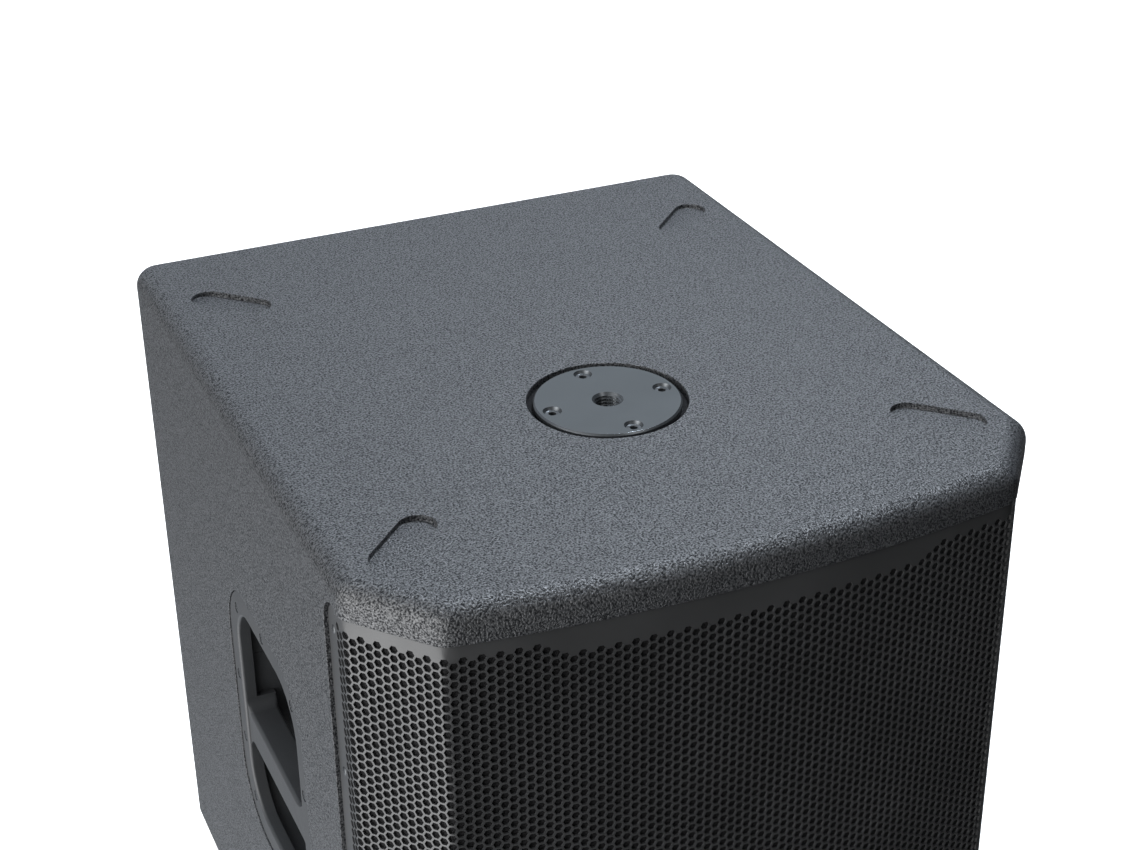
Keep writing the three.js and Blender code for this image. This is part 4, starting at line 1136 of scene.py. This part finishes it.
def bar_outline(growth):
    """The grip bar seen from the side: a band that flares into the mouth's walls at each end."""
    wall = MOUTH[0] / 2
    reach = wall + UNDERCUT + CUP_WALL / 2
    points = []
    for (side, up), corner in BAR_CORNERS.items():
        radius = corner - growth
        edge = BAR_MIDDLE + up * (BAR_HALF + growth)
        centre = side * (wall - radius), edge + up * radius
        at_wall, at_band = (0 if side > 0 else up * -math.pi), -up * TURN / 4
        end = (side * reach, centre[1])
        if side == up:
            points += [end] + arc(*centre, radius, at_wall, at_band, 8)
        else:
            points += arc(*centre, radius, at_band, at_wall, 8) + [end]
    return points


def bar_mesh(place):
    """The grip bar, with its long edges rounded in front and behind."""
    profile = []
    for i in range(7):
        t = TURN / 4 * i / 6
        profile.append((BAR_FRONT + BAR_ROUND * (1 - math.cos(t)), -BAR_ROUND * (1 - math.sin(t))))
    for i in range(7):
        t = TURN / 4 * i / 6
        profile.append((BAR_BACK - BAR_ROUND * (1 - math.sin(t)), -BAR_ROUND * (1 - math.cos(t))))
    return pocket(bar_outline, place, profile)


def handle_shell(place):
    """Flange and cup as one solid block, before it is hollowed."""
    flange = (HANDLE_SIZE.y, HANDLE_SIZE.z, HANDLE_RADIUS)
    grown = UNDERCUT + CUP_WALL
    edge = 0.6 * MM
    loops = [(rect(flange, -edge), HANDLE_SINK), (rect(flange, -edge * 0.3), HANDLE_SINK + edge * 0.3)]
    loops += [(rect(flange), HANDLE_SINK + edge), (rect(flange), FLANGE_BACK)]
    loops.append((rect(MOUTH, grown), FLANGE_BACK))
    for i in range(5):
        t = TURN / 4 * i / 4
        radius = 14 * MM
        growth = grown - radius * (1 - math.cos(t))
        loops.append((rect(MOUTH, growth), CUP_DEPTH - radius * (1 - math.sin(t))))
    return loft([[place(a, b, depth) for a, b in points] for points, depth in loops], "handle")


def handle_hollows(place):
    """Cutters for the mouth and for the cup behind it."""
    lip = [(depth + HANDLE_SINK, growth) for depth, growth in mouth_profile(COLLAR, 2.5 * MM, 0.01 * MM)]
    cup = [(COLLAR, UNDERCUT - 2 * MM), (COLLAR + 2 * MM, UNDERCUT)]
    for i in range(6):
        t = TURN / 4 * i / 5
        radius = 12 * MM
        floor = CUP_DEPTH - CUP_WALL
        cup.append((floor - radius * (1 - math.sin(t)), UNDERCUT - radius * (1 - math.cos(t))))
    return [pocket(lambda g: rect(MOUTH, g), place, profile) for profile in (lip, cup)]


def handle_seam(place):
    """A thin cut into the cup's walls, where its two halves would meet."""
    depths = COLLAR + 3 * MM, CUP_DEPTH - 13 * MM
    seam = [place(a, b, depth) for a, b in SEAM_SECTION for depth in depths]
    low = [min(p[i] for p in seam) for i in range(3)]
    high = [max(p[i] for p in seam) for i in range(3)]
    return box_mesh(low, high)


def make_handle(name, sign):
    place = into_side(sign, HANDLE_CENTRE.y, HANDLE_CENTRE.z)
    handle = object_of(handle_shell(place), f"{name}_moulding")
    tools = handle_hollows(place)
    sink = [(HANDLE_SINK + d, g) for d, g in mouth_profile(1.0 * MM, 0.25 * MM, 0.05 * MM)]
    screws = []
    for a, b in HANDLE_SCREWS:
        for side in (1, -1) if a else (1,):
            spot = shifted(place, side * a * MM, b * MM)
            tools.append(pocket(lambda g: circle(4.3 * MM + g, 32), spot, sink))
            screws.append(cross_screw(spot, 3.9 * MM, HANDLE_SINK + 0.9 * MM))
    tools.append(handle_seam(place))
    combine(handle, tools)
    combine(handle, [bar_mesh(place)], "UNION")
    smooth(handle, 32)
    finish_piece(handle, MOULDING, replaces=[name])
    screw_set(screws, f"{name}_screws", DARK_STEEL)


make_handle("handle_left", -1)
make_handle("handle_right", 1)

# ------------------------------------------------------------------ grille screws

GRILLE_SCREW_Y = -208 * MM
GRILLE_SCREW_HEIGHTS = (53.5, 163.5, 287.5, 411.5, 521.5)   # in millimetres


def make_grille_screws():
    screws = []
    for sign in (-1, 1):
        for height in GRILLE_SCREW_HEIGHTS:
            place = into_side(sign, GRILLE_SCREW_Y, height * MM)
            screws.append(cross_screw(place, 3.1 * MM, GRILLE_SINK, 0.9 * MM))
    screw_set(screws, "grille_screws", DARK_STEEL)


make_grille_screws()

# ------------------------------------------------------------------ feet

FOOT_LENGTH, FOOT_WIDTH = 62 * MM, 22 * MM
FOOT_EDGE = 1.6 * MM
FOOT_HOLE = 5.5 * MM


def make_foot(number):
    """A rubber foot with a sunk screw, whose mesh it returns."""
    low, high = FEET[number - 1]
    middle, angle = list(slot_places())[number - 1]
    profile = []
    for i in range(6):
        t = TURN / 4 * i / 5
        profile.append((-FOOT_EDGE * (1 - math.sin(t)), low.z + FOOT_EDGE * (1 - math.cos(t))))
    profile += [(0, high.z - 1.2 * MM), (0.8 * MM, high.z - 0.8 * MM), (0.8 * MM, high.z)]
    loops = []
    for growth, z in profile:
        outline = stadium(FOOT_LENGTH + 2 * growth, FOOT_WIDTH + 2 * growth, angle)
        loops.append([Vector((middle.x + a, middle.y + b, z)) for a, b in outline])
    foot = object_of(loft(loops, "foot"), f"foot_{number}_pad")

    def under(a, b, depth):
        return Vector((middle.x + a, middle.y + b, low.z + depth))

    sink = mouth_profile(4 * MM, 0.6 * MM, 0.4 * MM)
    combine(foot, [pocket(lambda g: circle(FOOT_HOLE + g, 32), under, sink)])
    smooth(foot)
    finish_piece(foot, RUBBER, replaces=[f"foot_{number}"])
    return cross_screw(under, 4.8 * MM, 3.6 * MM)


screw_set([make_foot(i) for i in (1, 2, 3, 4)], "foot_screws", ZINC)

# ------------------------------------------------------------------ woofer

WOOFER_CENTRE = sum(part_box("woofer_frame"), Vector()) / 2
CONE_NECK = 39.7 * MM
CONE_BODY = "cone_assembly"


def woofer_place(a, b, depth):
    return Vector((WOOFER_CENTRE.x + a, BAFFLE_Y + depth, WOOFER_CENTRE.z + b))


def radius_of(node):
    low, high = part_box(node)
    return (high.x - low.x) / 2


def front_of(node):
    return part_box(node)[0].y - BAFFLE_Y


def back_of(node):
    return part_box(node)[1].y - BAFFLE_Y


def woofer_piece(name, profile, material, body="cabinet"):
    piece = object_of(turned(profile, woofer_place, 128), f"{name}_turned")
    smooth(piece, 50)
    finish_piece(piece, material, body, [name])


def thickened(line, thickness):
    """A closed profile along a line of (radius, depth) points."""
    return line + [(radius, depth + thickness) for radius, depth in reversed(line)]


def make_surround():
    """A half roll between the cone's rim and the frame."""
    outer, rim_radius = radius_of("woofer_surround"), radius_of("woofer_cone")
    roll = (outer - rim_radius) / 2
    rim = back_of("woofer_surround")
    front = arc(rim_radius + roll, rim, roll, -math.pi, 0, 20)
    back = arc(rim_radius + roll, rim, roll - 1.1 * MM, 0, -math.pi, 20)
    woofer_piece("woofer_surround", front + back, SURROUND)


def make_cone():
    """A slightly curved cone with raised ribs round its outer part."""
    rim_radius = radius_of("woofer_cone")
    rim_depth, neck_depth = front_of("woofer_cone"), back_of("woofer_cone") - 2.2 * MM
    line = []
    for i in range(61):
        t = i / 60
        rib = 0.5 * MM * max(0, math.sin(t * 5 * TURN)) ** 4 if t < 0.75 else 0
        depth = rim_depth + (neck_depth - rim_depth) * (t * 0.82 + t * t * 0.18)
        line.append((rim_radius + (CONE_NECK - rim_radius) * t, depth - rib))
    woofer_piece("woofer_cone", thickened(line, 2.0 * MM), CONE_PAPER, CONE_BODY)


def make_dust_cap():
    radius, apex = radius_of("woofer_dust_cap"), front_of("woofer_dust_cap")
    height = back_of("woofer_dust_cap") - apex
    ball = (radius**2 + height**2) / (2 * height)
    half = math.asin(radius / ball)
    dome = arc(0, apex + ball, ball, half - TURN / 4, -TURN / 4, 24)[:-1]
    dome.append((0.2 * MM, apex))
    woofer_piece("woofer_dust_cap", thickened(dome, 1.0 * MM), CONE_PAPER, CONE_BODY)


def make_spider():
    """Five waves of cloth between the voice coil and the frame."""
    reach = radius_of("woofer_spider")
    middle = (front_of("woofer_spider") + back_of("woofer_spider")) / 2
    waves = []
    for i in range(121):
        radius = CONE_NECK + (reach - CONE_NECK) * i / 120
        waves.append((radius, middle + 1.5 * MM * math.cos(TURN * 5 * i / 120)))
    woofer_piece("woofer_spider", thickened(waves, 0.9 * MM), SPIDER_CLOTH)


make_surround()
make_cone()
make_dust_cap()
make_spider()

# ------------------------------------------------------------------ amplifier panel

TRAY_FACE_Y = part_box("display_window")[0].y - 0.3 * MM
SOCKETS = ("input_socket_1", "input_socket_2", "output_socket_1", "output_socket_2")
PRINT_SINK, PRINT_HEIGHT = 0.02 * MM, 0.12 * MM
LINE_WIDTH = 0.5 * MM


def on_tray(x, z):
    """A place on the amplifier's sunk face; depth runs into the cabinet."""
    middle_x, middle_z = TRAY_CENTRE.x + x, TRAY_CENTRE.z + z
    return lambda a, b, depth: Vector((middle_x + a, TRAY_FACE_Y - depth, middle_z + b))


def flange_screws():
    """Three screws across the tray's flange at the top and bottom, and two more down each side."""
    half_x, half_z = TRAY_SIZE.x / 2 - 10 * MM, TRAY_SIZE.z / 2 - 10 * MM
    flange = BACK_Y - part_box("amplifier_tray")[1].y
    for x in (-1, 0, 1):
        for z in (-1, -1 / 3, 1 / 3, 1):
            if x or abs(z) == 1:
                place = into_back(TRAY_CENTRE.x + x * half_x, TRAY_CENTRE.z + z * half_z)
                yield cross_screw(place, 4.2 * MM, flange, 1.3 * MM)


def socket_screws():
    """Two small screws in opposite corners of each signal socket."""
    for name in SOCKETS:
        low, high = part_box(name)
        middle = (low + high) / 2
        for side in (-1, 1):
            place = into_back(middle.x + side * 9.5 * MM, middle.z + side * 12 * MM)
            yield cross_screw(place, 2.4 * MM, BACK_Y - high.y, 0.6 * MM)


def heatsink_screws():
    low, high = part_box("amplifier_heatsink")
    for side in (-1, 1):
        for z in (low.z + 6 * MM, high.z - 6 * MM):
            place = into_back((low.x + high.x) / 2 + side * 88.6 * MM, z)
            yield cross_screw(place, 2.6 * MM, BACK_Y - (low.y + 3.7 * MM), 0.7 * MM)


def make_panel_screws():
    screws = [*flange_screws(), *socket_screws(), *heatsink_screws()]
    screw_set(screws, "panel_screws", DARK_STEEL)


def print_box(x0, x1, z0, z1):
    base = TRAY_FACE_Y - PRINT_SINK
    return box_mesh((x0, base, z0), (x1, base + PRINT_HEIGHT, z1))


def scale_ticks():
    """Eleven ticks round the level knob, longer at the ends and the middle."""
    low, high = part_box("level_knob")
    middle = (low + high) / 2
    reach = (high.x - low.x) / 2 + 2.5 * MM
    for i in range(11):
        angle = math.radians(-150 + 30 * i)
        along = Vector((math.sin(angle), 0, math.cos(angle)))
        across = Vector((math.cos(angle), 0, -math.sin(angle)))
        length = 3.5 * MM if i % 5 == 0 else 2.2 * MM
        start = Vector((middle.x, TRAY_FACE_Y, middle.z)) + along * reach
        end = start + along * length
        half = across * 0.3 * MM
        corners = (start - half, start + half, end + half, end - half)
        lifts = [Vector((0, lift, 0)) for lift in (-PRINT_SINK, 0.1 * MM)]
        yield loft([[corner + lift for corner in corners] for lift in lifts])


def socket_frame(names):
    """Four lines round a pair of sockets."""
    boxes = [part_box(name) for name in names]
    x0 = min(b[0].x for b in boxes) - 4 * MM
    x1 = max(b[1].x for b in boxes) + 4 * MM
    z0 = boxes[0][0].z - 4 * MM
    z1 = boxes[0][1].z + 4 * MM
    yield print_box(x0, x1, z0, z0 + LINE_WIDTH)
    yield print_box(x0, x1, z1 - LINE_WIDTH, z1)
    yield print_box(x0, x0 + LINE_WIDTH, z0 + LINE_WIDTH, z1 - LINE_WIDTH)
    yield print_box(x1 - LINE_WIDTH, x1, z0 + LINE_WIDTH, z1 - LINE_WIDTH)


def make_prints():
    marks = [*scale_ticks(), *socket_frame(SOCKETS[:2]), *socket_frame(SOCKETS[2:])]
    prints = object_of(joined_meshes(marks, "panel_prints"), "panel_prints")
    finish_piece(prints, WHITE_PRINT)


def make_lamps():
    """Three small domed lamps under the display."""
    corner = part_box("display_window")[0] - TRAY_CENTRE
    radius, rim, dome = 1.6 * MM, 0.4 * MM, 0.9 * MM
    profile = [(radius, 1 * MM), (radius, -rim)]
    profile += [(radius * math.cos(t), -rim - dome * math.sin(t)) for t in (0.3, 0.6, 0.9, 1.2)]
    lamps = []
    for i in range(3):
        place = on_tray(corner.x + (10 + 21 * i) * MM, corner.z - 7 * MM)
        lamps.append(loft(rings(profile, place, 24)))
    piece = object_of(joined_meshes(lamps, "lamps"), "status_lamps")
    smooth(piece)
    finish_piece(piece, LAMP)


make_panel_screws()
make_prints()
make_lamps()


def make_knob(name, ridges, height):
    """A turned knob with a ribbed skirt, a domed face and a white pointer line."""
    low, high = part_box(name)
    middle = (low + high) / 2
    radius = (high.x - low.x) / 2
    profile = [   # share of the radius, depth, share of the ribs' height
        (0.9, height, 0),
        (1.0, height - 0.3 * MM, 0.4),
        (1.0, height - 2.5 * MM, 0.4),
        (0.96, height - 3 * MM, 1),
        (0.92, 2 * MM, 1),
        (0.9, 0.9 * MM, 0.6),
        (0.86, 0.3 * MM, 0.2),
        (0.8, 0, 0),
        (0.74, 0, 0),
        (0.7, 0.35 * MM, 0),
        (0.4, 0.5 * MM, 0),
        (0.05, 0.55 * MM, 0),
    ]
    steps = ridges * 6
    loops = []
    for share, depth, ribs in profile:
        loop = []
        for i in range(steps):
            angle = TURN * i / steps
            r = radius * (share - 0.035 * ribs * (0.5 - 0.5 * math.cos(angle * ridges)))
            x, z = middle.x + r * math.cos(angle), middle.z + r * math.sin(angle)
            loop.append(Vector((x, high.y - depth, z)))
        loops.append(loop)
    knob = object_of(loft(loops, name), f"{name}_cap")
    smooth(knob, 40)
    finish_piece(knob, KNOB_RUBBER, name, [name])
    pointer = box_mesh(
        (middle.x - 0.5 * MM, high.y - 0.8 * MM, middle.z + radius * 0.3),
        (middle.x + 0.5 * MM, high.y + 0.05 * MM, middle.z + radius * 0.78),
    )
    pointer = object_of(pointer, f"{name}_pointer")
    finish_piece(pointer, WHITE_PRINT, name)


make_knob("menu_knob", 30, 15 * MM)
make_knob("level_knob", 22, 14 * MM)

# ------------------------------------------------------------------ looks of the CAD nodes that stay

LOOKS = {
    "plywood": plywood(),
    "zinc_steel": ZINC,
    "moulding": MOULDING,
    "rubber": RUBBER,
    "foam": FOAM,
    "cast_aluminium": plain_look("cast_aluminium", (0.02, 0.02, 0.021), 0.55, 0.9, 0.1, metallic=0.2),
    "ferrite": plain_look("ferrite", (0.03, 0.03, 0.032), 0.7, 0.5, 0.08),
    "copper": plain_look("copper", (0.6, 0.24, 0.1), 0.35, 0.3, 0.03, metallic=0.9),
    "amp_paint": AMP_PAINT,
    "aluminium": plain_look("aluminium", (0.022, 0.023, 0.025), 0.42, 0.25, 0.02, metallic=0.6),
    "circuit_board": plain_look("circuit_board", (0.012, 0.09, 0.035), 0.4, 2.5, 0.02, spread=0.5),
    "core_wrap": woven("core_wrap", (0.1, 0.075, 0.035), (0.06, 0.045, 0.02), 3 * MM),
    "can_sleeve": plain_look("can_sleeve", (0.015, 0.02, 0.03), 0.3, 3, 0.02),
    "switch_plastic": plain_look("switch_plastic", (0.014, 0.014, 0.015), 0.32, 0.5, 0.01),
    "display": plain_look("display", (0.006, 0.009, 0.012), 0.08, 8, 0.003),
    "knob_rubber": KNOB_RUBBER,
    "cable": plain_look("cable", (0.012, 0.012, 0.012), 0.5, 0.8, 0.05),
}


def dress_nodes():
    """Gives every CAD node that still shows its look, and eases its hard edges."""
    for part in frame["record"]["subparts"]:
        node, slot = part["node"], part["material_slot"]
        if slot not in LOOKS:
            continue
        obj = frame["nodes"][node]
        obj.data.materials.clear()
        obj.data.materials.append(LOOKS[slot])
        obj.modifiers.new("weld", "WELD").merge_threshold = 0.01 * MM
        bevel = obj.modifiers.new("bevel", "BEVEL")
        bevel.width = 0.35 * MM
        bevel.segments = 2
        bevel.limit_method = "ANGLE"
        bevel.angle_limit = math.radians(35)
        bevel.harden_normals = True


dress_nodes()
